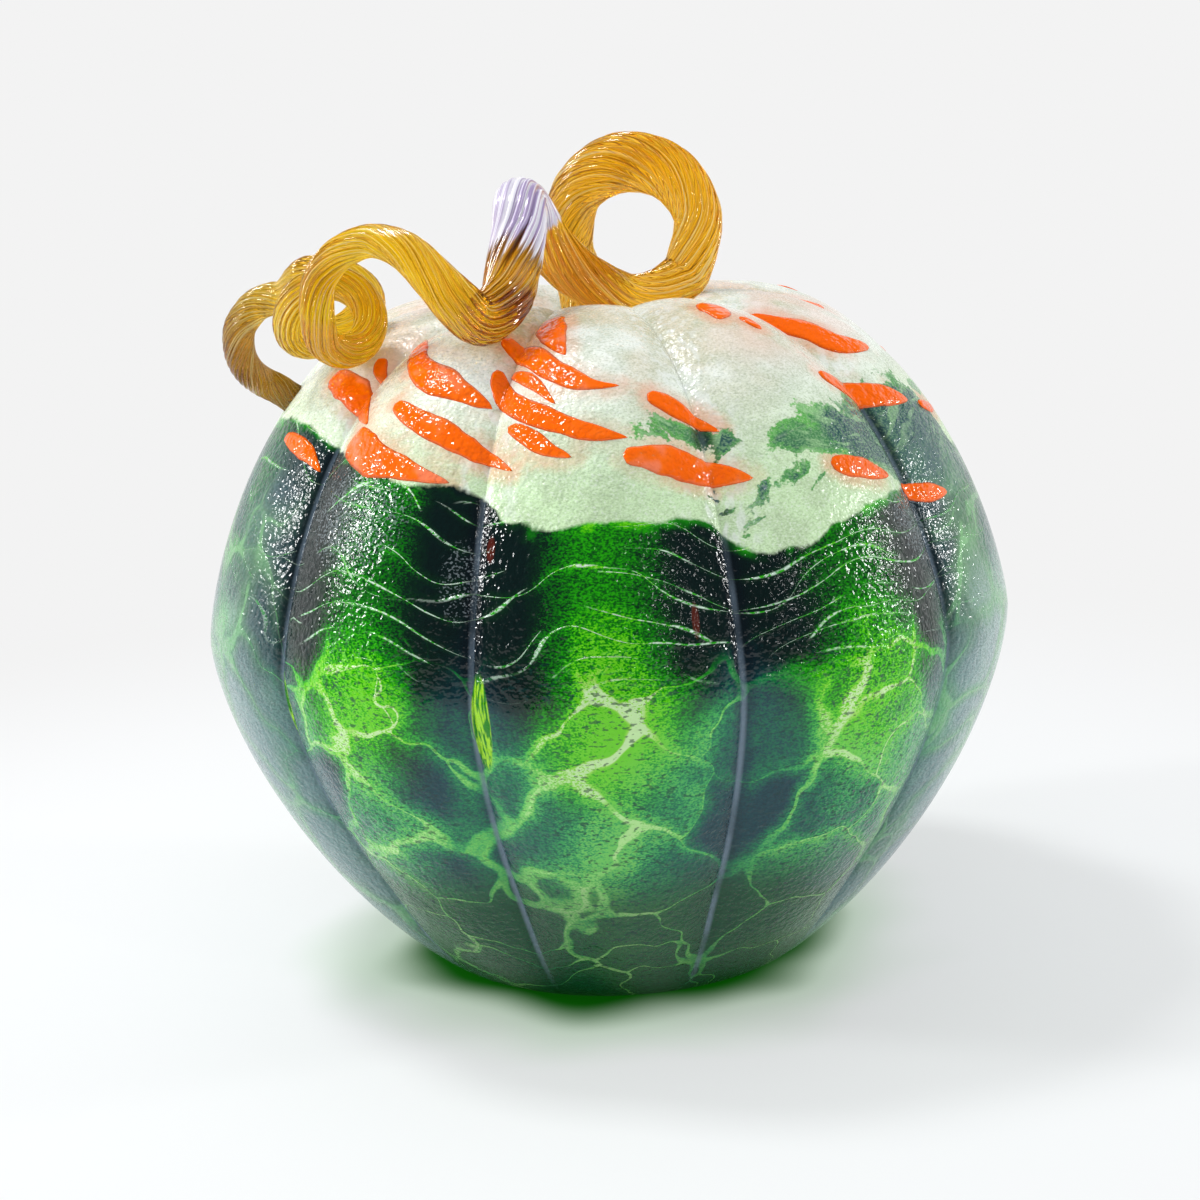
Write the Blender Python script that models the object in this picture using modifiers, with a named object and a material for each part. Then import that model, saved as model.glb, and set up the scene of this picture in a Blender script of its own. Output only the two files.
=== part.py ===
"""A blown glass pumpkin with a curled amber stem, in metres, +Z up.

The origin is on the body's axis, at the flat base that it stands on. -Y is the side that is usually
shown to the front, and bearings are counted from it: 0 degrees is -Y and 90 degrees is +X. A place
on the body is a bearing and a distance along its outline from the top's crest, outwards and down.
"""

import bisect
import math

import bmesh
import bpy
from mathutils import Vector

# Body: a hollow ribbed bubble, with a dimple at the top where the blowpipe was
BASE_RADIUS = 0.042
WIDEST_RADIUS = 0.0941
WIDEST_HEIGHT = 0.0823
CREST_RADIUS = 0.027
CREST_HEIGHT = 0.156
DIMPLE_DEPTH = 0.0126
PIPE_HOLE_RADIUS = 0.007
WALL = 0.004
LOWER_CURVE = (1.25, 1.55)
UPPER_CURVE = (2.53, 1.41)
DIMPLE_CURVE = 0.56

# Ribs: the creases between them are where the hot bubble touched its mould, and aren't quite even
CREASE_BEARINGS = (17.4, 54.8, 91.0, 127.0, 163.0, 199.0, 235.0, 272.0, 308.4, 341.4)
CREASE_DEPTH = 0.0042
CREASE_TOP_FADE = 0.055
CREASE_BASE_FADE = 0.045
RIB_ROUNDNESS = 0.8

# The fused pieces are modelled this far apart
SEAT_GAP = 0.0003

# Stem and vine: one cane, thick at the root and thin at the curls
ROOT_RADIUS = 0.0098
ROOT_MARGIN = 0.0008
ROOT_NECK_RADIUS = 0.0086
RING_CANE_RADIUS = 0.0056
HOOK_CANE_RADIUS = 0.0061
TOUCH_CANE_RADIUS = 0.0054
ARCH_CANE_RADIUS = 0.0037
CURL_CANE_RADIUS = 0.0038
TAIL_CANE_RADIUS = 0.0036

RING_RADIUS = 0.015
RING_OFFSET = 0.0098
RING_CLEARANCE = 0.0057
RING_STRAND_GAP = 0.0095
RING_TOP_SWELL = 0.0014
RING_START = 190.0
RING_END = -35.0
RING_LEVEL = 65.0

CURL_RADIUS = 0.0073
CURL_STRAND_GAP = 0.0050
CURL_CLEARANCE = 0.0022
CURL_FACING = 195.0
CURL_DRIFT_BEARING = 214.5
CURL_START = 180.0
CURL_END = 800.0
CURL_SPREAD = 0.85
CURL_LIFT = 0.0026
CURL_WIDEST = 720.0

FRONT_TOUCH = (-27.3, 0.0257)
CURL_TOUCH = (-58.5, 0.0372)
TAIL_TOUCH = (-95.0, 0.0532)

# The root's points and the hook's are offsets from the middle of the dimple's floor
ROOT_ROUTE = (
    (0.0, 0.0, 0.0012),
    (0.0, 0.0, 0.0024),
    (-0.0004, 0.0010, 0.0058),
    (-0.0016, 0.0034, 0.0110),
    (-0.0036, 0.0060, 0.0170),
)
HOOK_ROUTE = (
    (0.0196, -0.0068, 0.0147),
    (0.0150, -0.0084, 0.0120),
    (0.0091, -0.0094, 0.0110),
    (0.0035, -0.0097, 0.0130),
    (-0.0039, -0.0098, 0.0179),
    (-0.0099, -0.0104, 0.0246),
    (-0.0132, -0.0119, 0.0309),
    (-0.0151, -0.0166, 0.0341),
    (-0.0153, -0.0225, 0.0328),
    (-0.0159, -0.0275, 0.0270),
)
# The touch's, the arch's and the drop's are offsets from the cane's centre where it meets the front
TOUCH_ROUTE = ((0.0064, 0.0138, 0.0085), (0.0049, 0.0056, 0.0036), (0.0, 0.0, 0.0))
ARCH_ROUTE = (
    (-0.0045, -0.0009, 0.0035),
    (-0.0090, 0.0018, 0.0083),
    (-0.0157, 0.0060, 0.0148),
    (-0.0228, 0.0103, 0.0171),
)
DROP_ROUTE = ((-0.0288, 0.0110, 0.0155), (-0.0328, 0.0112, 0.0124), (-0.0354, 0.0108, 0.0078))
# The tail's points are offsets from where its tip meets the left shoulder
TAIL_ROUTE = (
    (0.0033, -0.0208, 0.0263),
    (-0.0009, -0.0188, 0.0253),
    (-0.0043, -0.0175, 0.0240),
    (-0.0069, -0.0163, 0.0215),
    (-0.0088, -0.0153, 0.0187),
    (-0.0096, -0.0133, 0.0151),
    (-0.0096, -0.0103, 0.0112),
    (-0.0084, -0.0068, 0.0075),
    (-0.0063, -0.0022, 0.0045),
)
TAIL_LEAD = 0.0040

# Orange shards: the places along each one's middle, its greatest width, and where along it that is
SHARD_THICKNESS = 0.0009
SHARD_TIP_SHARE = 0.16
SHARD_FULLNESS = 0.7
SHARDS = (
    (((-14.0, 0.011), (-12.0, 0.018), (-9.5, 0.025), (-6.5, 0.031)), 0.0064, 0.30),
    (((-23.5, 0.022), (-17.5, 0.026), (-10.0, 0.034), (-2.5, 0.040), (4.0, 0.041)), 0.0054, 0.40),
    (((-18.5, 0.033), (-14.5, 0.036), (-11.0, 0.040), (-7.5, 0.045)), 0.0030, 0.45),
    (((-21.5, 0.033), (-17.0, 0.042), (-9.5, 0.048), (-2.5, 0.052), (4.5, 0.054)), 0.0052, 0.45),
    (((-16.0, 0.049), (-11.5, 0.053), (-8.0, 0.056), (-4.5, 0.058)), 0.0038, 0.40),
    (((-39.0, 0.046), (-31.5, 0.050), (-25.0, 0.053), (-19.5, 0.056), (-14.0, 0.060)), 0.0052, 0.40),
    (((-50.0, 0.023), (-43.0, 0.031), (-34.5, 0.038), (-26.5, 0.041), (-20.0, 0.044)), 0.0066, 0.55),
    (((-64.0, 0.041), (-57.5, 0.042), (-51.5, 0.045), (-44.0, 0.051)), 0.0070, 0.40),
    (((-56.0, 0.032), (-54.0, 0.035), (-51.0, 0.038)), 0.0034, 0.45),
    (((-46.5, 0.054), (-40.5, 0.058), (-32.5, 0.061), (-24.0, 0.063)), 0.0078, 0.25),
    (((-66.0, 0.058), (-61.0, 0.059), (-57.0, 0.060), (-53.0, 0.063)), 0.0042, 0.45),
    (((9.0, 0.043), (14.5, 0.047), (20.5, 0.053)), 0.0046, 0.40),
    (((3.5, 0.058), (9.5, 0.059), (16.0, 0.062), (23.5, 0.065)), 0.0068, 0.45),
    (((36.0, 0.012), (37.0, 0.017), (33.5, 0.022)), 0.0056, 0.50),
    (((40.5, 0.022), (41.5, 0.028)), 0.0030, 0.50),
    (((55.0, 0.016), (58.0, 0.026), (62.0, 0.036), (70.0, 0.041)), 0.0066, 0.60),
    (((46.5, 0.043), (54.0, 0.048), (60.5, 0.052), (67.0, 0.056)), 0.0062, 0.50),
    (((37.0, 0.065), (43.0, 0.067), (50.0, 0.070)), 0.0048, 0.45),
    (((70.0, 0.058), (77.0, 0.061)), 0.0034, 0.50),
    (((90.0, 0.016), (93.0, 0.022), (98.0, 0.029)), 0.0048, 0.45),
    (((53.0, 0.073), (58.0, 0.076), (63.5, 0.078)), 0.0044, 0.50),
    (((86.0, 0.042), (93.0, 0.046), (101.0, 0.048)), 0.0058, 0.40),
    (((88.0, 0.065), (95.0, 0.068), (102.0, 0.073)), 0.0050, 0.45),
    (((111.0, 0.021), (117.0, 0.028), (126.0, 0.032)), 0.0058, 0.45),
    (((113.0, 0.050), (121.0, 0.054), (129.0, 0.056), (136.0, 0.059)), 0.0062, 0.45),
    (((140.0, 0.031), (148.0, 0.036), (156.0, 0.038)), 0.0050, 0.40),
    (((151.0, 0.052), (158.0, 0.056), (166.0, 0.058)), 0.0056, 0.45),
    (((172.0, 0.020), (179.0, 0.027), (188.0, 0.030)), 0.0060, 0.50),
    (((181.0, 0.044), (189.0, 0.048), (198.0, 0.050), (205.0, 0.053)), 0.0064, 0.45),
    (((202.0, 0.066), (208.0, 0.068), (215.0, 0.072)), 0.0044, 0.45),
    (((210.0, 0.026), (217.0, 0.033), (226.0, 0.036)), 0.0058, 0.45),
    (((226.0, 0.051), (233.0, 0.055), (241.0, 0.056)), 0.0056, 0.40),
    (((246.0, 0.023), (252.0, 0.029), (258.0, 0.033)), 0.0048, 0.50),
)

# Fineness of the meshes, and the small steps that directions and gaps are measured over
STEPS_PER_RIB = 8
OUTER_ROWS = 17
DIMPLE_ROWS = 5
STEPS_PER_SPAN = 3
TURN_STEP = 45.0
CANE_RESOLUTION = 3
SHARD_STEPS = 8
OUTLINE_STEPS = 60
SLOPE_STEP = 0.0002
NORMAL_STEP = 0.0005
NORMAL_TURN = 0.4
HEADING_STEP = 0.02
RIM_POINTS = 12
NEAR_RADII = 3.0


def blend(low, high, value):
    """0 below low and 1 above high, with a smooth rise between."""
    share = min(1.0, max(0.0, (value - low) / (high - low)))
    return share * share * (3.0 - 2.0 * share)


def outline_points():
    """Radius and height of the body's outside, from the hole over the crest to the base's edge."""
    shares = [step / OUTLINE_STEPS for step in range(OUTLINE_STEPS)]
    points = [(PIPE_HOLE_RADIUS, CREST_HEIGHT - DIMPLE_DEPTH)]
    for share in shares:
        dip = DIMPLE_DEPTH * (0.5 + 0.5 * math.cos(math.pi * share)) ** DIMPLE_CURVE
        points.append((FLOOR_RADIUS + share * (CREST_RADIUS - FLOOR_RADIUS), CREST_HEIGHT - dip))
    for share in shares:
        out = math.sin(share * math.pi / 2.0) ** (2.0 / UPPER_CURVE[0])
        up = math.cos(share * math.pi / 2.0) ** (2.0 / UPPER_CURVE[1])
        radius = CREST_RADIUS + out * (WIDEST_RADIUS - CREST_RADIUS)
        points.append((radius, WIDEST_HEIGHT + up * (CREST_HEIGHT - WIDEST_HEIGHT)))
    for share in shares + [1.0]:
        out = max(0.0, math.cos(share * math.pi / 2.0)) ** (2.0 / LOWER_CURVE[0])
        down = math.sin(share * math.pi / 2.0) ** (2.0 / LOWER_CURVE[1])
        radius = BASE_RADIUS + out * (WIDEST_RADIUS - BASE_RADIUS)
        points.append((radius, WIDEST_HEIGHT * (1.0 - down)))
    return points


FLOOR_RADIUS = ROOT_RADIUS + ROOT_MARGIN
OUTLINE = outline_points()
DISTANCES = [0.0]
for before, after in zip(OUTLINE, OUTLINE[1:]):
    DISTANCES.append(DISTANCES[-1] + math.dist(before, after))
CREST_DISTANCE = DISTANCES[OUTLINE_STEPS + 1]
HOLE_END = -CREST_DISTANCE
FLOOR_END = HOLE_END + FLOOR_RADIUS - PIPE_HOLE_RADIUS
BASE_END = DISTANCES[-1] - CREST_DISTANCE


def outline_at(distance):
    """Radius and height of the outline at this distance from the crest."""
    along = min(max(distance + CREST_DISTANCE, 0.0), DISTANCES[-1])
    after = min(max(bisect.bisect_left(DISTANCES, along), 1), len(DISTANCES) - 1)
    share = (along - DISTANCES[after - 1]) / (DISTANCES[after] - DISTANCES[after - 1])
    low, high = OUTLINE[after - 1], OUTLINE[after]
    return low[0] + share * (high[0] - low[0]), low[1] + share * (high[1] - low[1])


def rib_share(bearing):
    """How far this bearing is across its rib, from 0 at one crease to 1 at the next."""
    turned = bearing % 360.0
    edges = [CREASE_BEARINGS[-1] - 360.0, *CREASE_BEARINGS, CREASE_BEARINGS[0] + 360.0]
    after = bisect.bisect_right(edges, turned)
    return (turned - edges[after - 1]) / (edges[after] - edges[after - 1])


def body_point(bearing, distance):
    """The point of the ribbed outside surface at a place."""
    radius, height = outline_at(distance)
    before, after = outline_at(distance - SLOPE_STEP), outline_at(distance + SLOPE_STEP)
    slope = Vector((after[0] - before[0], after[1] - before[1])).normalized()
    fade = blend(0.0, CREASE_TOP_FADE, distance - FLOOR_END)
    fade *= blend(0.0, CREASE_BASE_FADE, BASE_END - distance)
    rise = max(0.0, math.sin(math.pi * rib_share(bearing))) ** RIB_ROUNDNESS
    depth = CREASE_DEPTH * fade * (1.0 - rise)
    radius += slope[1] * depth
    height -= slope[0] * depth
    angle = math.radians(bearing)
    return Vector((radius * math.sin(angle), -radius * math.cos(angle), height))


def body_normal(bearing, distance):
    """The outward direction of the ribbed surface at a place."""
    east = body_point(bearing + NORMAL_TURN, distance) - body_point(bearing - NORMAL_TURN, distance)
    down = body_point(bearing, distance + NORMAL_STEP) - body_point(bearing, distance - NORMAL_STEP)
    return down.cross(east).normalized()


def over_body(place, lift):
    """The point at this height over a place on the body."""
    return body_point(*place) + lift * body_normal(*place)


def material(name, colour, roughness, transmission):
    """A plain glass material."""
    made = bpy.data.materials.new(name)
    made.use_nodes = True
    shader = made.node_tree.nodes["Principled BSDF"]
    shader.inputs["Base Color"].default_value = (*colour, 1.0)
    shader.inputs["Metallic"].default_value = 0.0
    shader.inputs["Roughness"].default_value = roughness
    shader.inputs["Transmission Weight"].default_value = transmission
    made.diffuse_color = (*colour, 1.0)
    return made


def mapped_grid(columns, rows, to_point):
    """A grid whose corners to_point places, from its share across and its share up."""
    grid = bmesh.new()
    bmesh.ops.create_grid(grid, x_segments=columns, y_segments=rows, size=1.0)
    for corner in grid.verts:
        corner.co = to_point((corner.co.x + 1.0) / 2.0, (corner.co.y + 1.0) / 2.0)
    bmesh.ops.remove_doubles(grid, verts=grid.verts, dist=1e-6)
    return grid


def add_shell(name, grid, collection, glass, thickness, offset):
    """An object from an open surface, thickened by Solidify."""
    mesh = bpy.data.meshes.new(name)
    grid.to_mesh(mesh)
    grid.free()
    mesh.shade_smooth()
    mesh.materials.append(glass)
    shell = bpy.data.objects.new(name, mesh)
    collection.objects.link(shell)
    solidify = shell.modifiers.new("Thickness", "SOLIDIFY")
    solidify.thickness = thickness
    solidify.offset = offset
    solidify.use_even_offset = True
    return shell


def add_body(collection):
    """The hollow body: its outside is mapped from a grid, and its wall grows inwards."""
    ribs = len(CREASE_BEARINGS)
    rows = [BASE_END * (1.0 - step / OUTER_ROWS) for step in range(OUTER_ROWS)]
    rows += [FLOOR_END * step / DIMPLE_ROWS for step in range(DIMPLE_ROWS)]
    rows += [FLOOR_END, HOLE_END]

    def to_point(across, up):
        column = round(across * ribs * STEPS_PER_RIB)
        rib, step = divmod(column, STEPS_PER_RIB)
        start = CREASE_BEARINGS[rib % ribs]
        width = (CREASE_BEARINGS[(rib + 1) % ribs] - start) % 360.0
        row = round(up * len(rows))
        if row == 0:
            return Vector((0.0, 0.0, 0.0))
        return body_point(start + width * step / STEPS_PER_RIB, rows[row - 1])

    grid = mapped_grid(ribs * STEPS_PER_RIB, len(rows), to_point)
    green = material("green_glass", (0.05, 0.32, 0.06), 0.12, 0.6)
    return add_shell("body_shell", grid, collection, green, WALL, -1.0)


def ring_points(floor):
    """The ring's helix: up on the left at the back, over, and down on the right to the front."""
    centre = floor + Vector((RING_OFFSET, 0.0, RING_RADIUS + RING_CANE_RADIUS + RING_CLEARANCE))
    pitch = 2.0 * RING_CANE_RADIUS + RING_STRAND_GAP
    points = []
    steps = round((RING_START - RING_END) / TURN_STEP)
    for step in range(steps + 1):
        turn = RING_START + (RING_END - RING_START) * step / steps
        angle = math.radians(turn)
        back = pitch * (turn - RING_LEVEL) / 360.0
        offset = Vector((RING_RADIUS * math.cos(angle), back, RING_RADIUS * math.sin(angle)))
        swell = RING_TOP_SWELL * max(0.0, math.sin(angle)) ** 2
        points.append((centre + offset, RING_CANE_RADIUS + swell))
    return points


def curl_points(bottom):
    """The two curls, through their lowest point in front, drifting back, the second one wider."""
    bearing, facing = math.radians(CURL_DRIFT_BEARING), math.radians(CURL_FACING)
    drift = Vector((math.sin(bearing), -math.cos(bearing), 0.0))
    across = Vector((-math.cos(facing), -math.sin(facing), 0.0))
    up = Vector((0.0, 0.0, 1.0))
    pitch = 2.0 * CURL_CANE_RADIUS + CURL_STRAND_GAP
    centre = bottom + CURL_RADIUS * up
    points = []
    steps = round((CURL_END - CURL_START) / TURN_STEP)
    for step in range(steps + 1):
        turn = CURL_START + (CURL_END - CURL_START) * step / steps
        angle = math.radians(turn)
        widening = math.radians(min(CURL_WIDEST - turn, 180.0))
        share = math.cos(widening / 2.0) ** 2
        offset = CURL_RADIUS * (1.0 + CURL_SPREAD * share) * math.cos(angle) * across
        offset += (CURL_RADIUS * math.sin(angle) + CURL_LIFT * share) * up
        points.append((centre + pitch * (turn - 270.0) / 360.0 * drift + offset, CURL_CANE_RADIUS))
    return points


def cane_knots():
    """The centre and radius at the points that the cane's smooth line passes through."""
    floor = Vector((0.0, 0.0, outline_at(HOLE_END)[1] + SEAT_GAP))
    touch = over_body(FRONT_TOUCH, TOUCH_CANE_RADIUS + SEAT_GAP)
    curl = over_body(CURL_TOUCH, CURL_CANE_RADIUS + CURL_CLEARANCE)
    tip = over_body(TAIL_TOUCH, SEAT_GAP)

    def route(start, offsets, first, last):
        """Points at these offsets, with a radius that goes evenly from first to last."""
        steps = max(1, len(offsets) - 1)
        radii = [first + (last - first) * step / steps for step in range(len(offsets))]
        return [(start + Vector(offset), radius) for offset, radius in zip(offsets, radii)]

    knots = [(floor, ROOT_RADIUS)]
    knots += route(floor, ROOT_ROUTE, ROOT_NECK_RADIUS, RING_CANE_RADIUS)
    knots += ring_points(floor)
    knots += route(floor, HOOK_ROUTE, RING_CANE_RADIUS, HOOK_CANE_RADIUS)
    knots += route(touch, TOUCH_ROUTE, HOOK_CANE_RADIUS, TOUCH_CANE_RADIUS)
    knots += route(touch, ARCH_ROUTE, TOUCH_CANE_RADIUS, ARCH_CANE_RADIUS)
    knots += route(touch, DROP_ROUTE, ARCH_CANE_RADIUS, CURL_CANE_RADIUS)
    knots += curl_points(curl)
    knots += route(tip, TAIL_ROUTE, CURL_CANE_RADIUS, TAIL_CANE_RADIUS)
    knots.append((over_body(TAIL_TOUCH, SEAT_GAP + TAIL_LEAD), TAIL_CANE_RADIUS))
    knots.append((tip, TAIL_CANE_RADIUS))
    return knots


def smooth_line(knots):
    """Points of a Catmull-Rom line through the knots, each with its radius."""
    line = []
    last = len(knots) - 1
    for index in range(last):
        corners = [Vector((*knots[min(max(index + side, 0), last)][0], 0.0)) for side in (-1, 0, 1, 2)]
        for side, corner in zip((-1, 0, 1, 2), corners):
            corner.w = knots[min(max(index + side, 0), last)][1]
        a, b, c, d = corners
        for step in range(STEPS_PER_SPAN):
            t = step / STEPS_PER_SPAN
            line.append(
                0.5 * (2.0 * b + (c - a) * t + (2.0 * a - 5.0 * b + 4.0 * c - d) * t * t)
                + 0.5 * (3.0 * b - 3.0 * c + d - a) * t * t * t
            )
    end, radius = knots[-1]
    line.append(Vector((*end, radius)))
    return line


def least_gap(line):
    """The least distance between two stretches of the cane's surface that aren't neighbours."""
    least = math.inf
    along = [0.0]
    for before, after in zip(line, line[1:]):
        along.append(along[-1] + (after.xyz - before.xyz).length)
    for i in range(1, len(line)):
        centre, radius = line[i].xyz, line[i].w
        ahead = (centre - line[i - 1].xyz).normalized()
        side = ahead.orthogonal().normalized()
        other = ahead.cross(side)
        turns = [math.tau * step / RIM_POINTS for step in range(RIM_POINTS)]
        rim = [centre + radius * (math.cos(turn) * side + math.sin(turn) * other) for turn in turns]
        for j, second in enumerate(line):
            if abs(along[j] - along[i]) < math.pi * (radius + second.w):
                continue
            if (centre - second.xyz).length > NEAR_RADII * (radius + second.w):
                continue
            least = min([least] + [(point - second.xyz).length - second.w for point in rim])
    return least


def add_cane(collection):
    """The stem and vine: one round bar along its line, with flat ends."""
    line = smooth_line(cane_knots())
    curve = bpy.data.curves.new("stem_and_vine", "CURVE")
    curve.dimensions = "3D"
    curve.bevel_depth = 1.0
    curve.bevel_resolution = CANE_RESOLUTION
    curve.use_fill_caps = True
    curve.twist_mode = "MINIMUM"
    spline = curve.splines.new("POLY")
    spline.points.add(len(line) - 1)
    for point, place in zip(spline.points, line):
        point.co = (*place.xyz, 1.0)
        point.radius = place.w
    curve.materials.append(material("amber_glass", (0.80, 0.45, 0.03), 0.06, 0.7))
    cane = bpy.data.objects.new("stem_and_vine", curve)
    collection.objects.link(cane)
    print(f"the cane's least gap to itself is {1000.0 * least_gap(line):.2f} mm")
    return cane


def shard_place(middle, share):
    """The place at this share of the way along a shard's middle."""
    last = len(middle) - 1
    along = min(share * last, last - 1e-6)
    index = int(along)
    t = along - index
    a, b, c, d = [Vector(middle[min(max(index + side, 0), last)]) for side in (-1, 0, 1, 2)]
    return 0.5 * (
        2.0 * b + (c - a) * t + (2.0 * a - 5.0 * b + 4.0 * c - d) * t * t
        + (3.0 * b - 3.0 * c + d - a) * t * t * t
    )


def add_shard(name, shape, collection, glass):
    """One orange shard: a strip mapped on to the body, thickened outwards."""
    middle, width, head = shape
    bend = math.log(0.5) / math.log(head)

    def to_point(along, across):
        place = shard_place(middle, along)
        before = shard_place(middle, max(along - HEADING_STEP, 0.0))
        step = shard_place(middle, min(along + HEADING_STEP, 1.0)) - before
        radius = outline_at(place[1])[0]
        east = math.radians(step[0]) * radius
        heading = Vector((east, step[1])).normalized()
        swell = math.sin(math.pi * along ** bend) ** SHARD_FULLNESS
        half = width / 2.0 * (SHARD_TIP_SHARE + (1.0 - SHARD_TIP_SHARE) * swell)
        side = (2.0 * across - 1.0) * half
        bearing = place[0] + math.degrees(side * heading[1] / radius)
        return over_body((bearing, place[1] - side * heading[0]), SEAT_GAP)

    grid = mapped_grid(SHARD_STEPS, 2, to_point)
    return add_shell(name, grid, collection, glass, SHARD_THICKNESS, 1.0)


def main():
    for thing in list(bpy.data.objects):
        bpy.data.objects.remove(thing)
    pumpkin = bpy.data.collections.new("glass_pumpkin")
    bpy.context.scene.collection.children.link(pumpkin)
    add_body(pumpkin)
    add_cane(pumpkin)
    orange = material("orange_glass", (0.85, 0.18, 0.03), 0.1, 0.0)
    for number, shape in enumerate(SHARDS, 1):
        add_shard(f"orange_shard_{number:02d}", shape, pumpkin, orange)


main()
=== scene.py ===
# %% [markdown]
# A blown glass pumpkin, dressed for its photograph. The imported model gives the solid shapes. Over
# them go three kinds of finished pieces: the ribbed and mottled green body, the twisted amber cane
# that is its stem and vine, and the orange glass shards that were picked up on its top.
# Every length is in metres, +Z is up, and -Y faces the camera.

# %% Load the frame
import bisect
import math

import bmesh
import bpy
from mathutils import Matrix, Vector, noise
from mathutils.kdtree import KDTree


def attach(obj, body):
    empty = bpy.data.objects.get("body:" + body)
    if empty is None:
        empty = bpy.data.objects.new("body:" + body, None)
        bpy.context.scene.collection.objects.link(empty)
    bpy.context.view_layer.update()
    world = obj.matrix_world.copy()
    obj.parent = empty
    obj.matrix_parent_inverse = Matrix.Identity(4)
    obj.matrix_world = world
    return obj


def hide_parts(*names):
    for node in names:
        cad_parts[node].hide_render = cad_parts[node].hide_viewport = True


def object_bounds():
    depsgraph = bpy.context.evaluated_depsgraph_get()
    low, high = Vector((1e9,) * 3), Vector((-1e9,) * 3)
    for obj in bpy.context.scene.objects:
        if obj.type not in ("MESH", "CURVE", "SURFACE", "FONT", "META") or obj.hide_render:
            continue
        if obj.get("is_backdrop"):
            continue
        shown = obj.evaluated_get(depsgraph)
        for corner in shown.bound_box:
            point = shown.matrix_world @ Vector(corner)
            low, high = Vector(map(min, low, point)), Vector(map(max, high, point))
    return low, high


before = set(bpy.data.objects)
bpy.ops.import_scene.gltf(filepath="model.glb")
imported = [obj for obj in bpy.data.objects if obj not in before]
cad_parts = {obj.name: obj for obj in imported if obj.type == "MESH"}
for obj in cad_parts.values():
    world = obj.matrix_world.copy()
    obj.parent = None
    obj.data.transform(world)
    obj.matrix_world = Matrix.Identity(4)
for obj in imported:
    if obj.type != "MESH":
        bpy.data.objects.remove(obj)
cad_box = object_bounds()
print(len(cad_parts), "solids in the frame")

# %% [markdown]
# The camera comes first, because the framing decides how fine each piece must be. It stands in front,
# a little above the object, and leans by under three degrees, as a hand-held camera does.

# %% Camera
LOOK_AT = Vector((0.0, 0.0, 0.09073))
CAMERA_RISE = math.radians(12.27)
CAMERA_RANGE = 0.598
CAMERA_LEAN = math.radians(-2.64)

camera_data = bpy.data.cameras.new("camera")
camera_data.sensor_width = 36.0
camera_data.lens = 75.98
camera_data.shift_x = -0.00483
camera_data.shift_y = -0.02742
camera = bpy.data.objects.new("camera", camera_data)
bpy.context.scene.collection.objects.link(camera)
spot = LOOK_AT + CAMERA_RANGE * Vector((0.0, -math.cos(CAMERA_RISE), math.sin(CAMERA_RISE)))
aim = (LOOK_AT - spot).to_track_quat("-Z", "Y").to_matrix().to_4x4()
camera.matrix_world = Matrix.Translation(spot) @ aim @ Matrix.Rotation(CAMERA_LEAN, 4, "Z")
bpy.context.scene.camera = camera
print("camera at", [round(value, 3) for value in spot])

# %% [markdown]
# Shader maths reads best as plain expressions. This small class wraps one socket of a node tree, so
# that adding or multiplying two sockets adds the Math node that does it. Any other node comes from
# its one method, which takes the node's type, then its settings, then what goes into its sockets.

# %% Sockets with arithmetic
class Wire:
    """One output socket of a material's nodes."""

    def __init__(self, tree, socket=None):
        self.tree = tree
        self.socket = socket

    def node(self, kind, settings, inputs, output=0):
        """A new node of this kind, set and linked, as a Wire of one of its outputs."""
        made = self.tree.nodes.new(kind)
        for name, value in settings.items():
            if name == "stops":
                elements = made.color_ramp.elements
                while len(elements) < len(value):
                    elements.new(0.5)
                for element, (position, tone) in zip(elements, value):
                    element.position = position
                    element.color = (*tone, 1.0)
            elif name == "curve":
                points = made.mapping.curves[0].points
                while len(points) < len(value):
                    points.new(0.5, 0.5)
                for point, location in zip(points, value):
                    point.location = location
                made.mapping.update()
            else:
                setattr(made, name, value)
        for name, value in inputs.items():
            if isinstance(value, Wire):
                self.tree.links.new(value.socket, made.inputs[name])
            else:
                made.inputs[name].default_value = value
        return Wire(self.tree, made.outputs[output])

    def maths(self, operation, *others):
        """A Math node on this value and then the others."""
        inputs = dict(enumerate((self, *others)))
        return self.node("ShaderNodeMath", {"operation": operation}, inputs)

    def __add__(self, other):
        return self.maths("ADD", other)

    def __sub__(self, other):
        return self.maths("SUBTRACT", other)

    def __rsub__(self, other):
        return self.node("ShaderNodeMath", {"operation": "SUBTRACT"}, {0: other, 1: self})

    def __mul__(self, other):
        return self.maths("MULTIPLY", other)

    def __truediv__(self, other):
        return self.maths("DIVIDE", other)

    __radd__ = __add__
    __rmul__ = __mul__


def start_material(name):
    """A new material: its Principled shader, and a Wire from which its nodes start."""
    made = bpy.data.materials.new(name)
    made.use_nodes = True
    return made, made.node_tree.nodes["Principled BSDF"], Wire(made.node_tree)


def connect(shader, links):
    """Links Wires to the shader's sockets, or sets them."""
    for name, value in links.items():
        if isinstance(value, Wire):
            value.tree.links.new(value.socket, shader.inputs[name])
        else:
            shader.inputs[name].default_value = value


print("sockets can now be added, subtracted, multiplied and divided")

# %% [markdown]
# The finishes are mostly noise that is stretched, cut off at a threshold and used to mix two colours.
# These helpers do one such step each. Patterns are in millimetres, so a size is read as it stands.

# %% Steps that every finish uses
def rise(value, low, high):
    """0 below low and 1 above high, with a smooth rise between. High may be the lower one."""
    if not isinstance(low, Wire) and low > high:
        return 1.0 - rise(value, high, low)
    inputs = {"Value": value, "From Min": low, "From Max": high}
    return value.node("ShaderNodeMapRange", {"interpolation_type": "SMOOTHSTEP"}, inputs)


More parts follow.
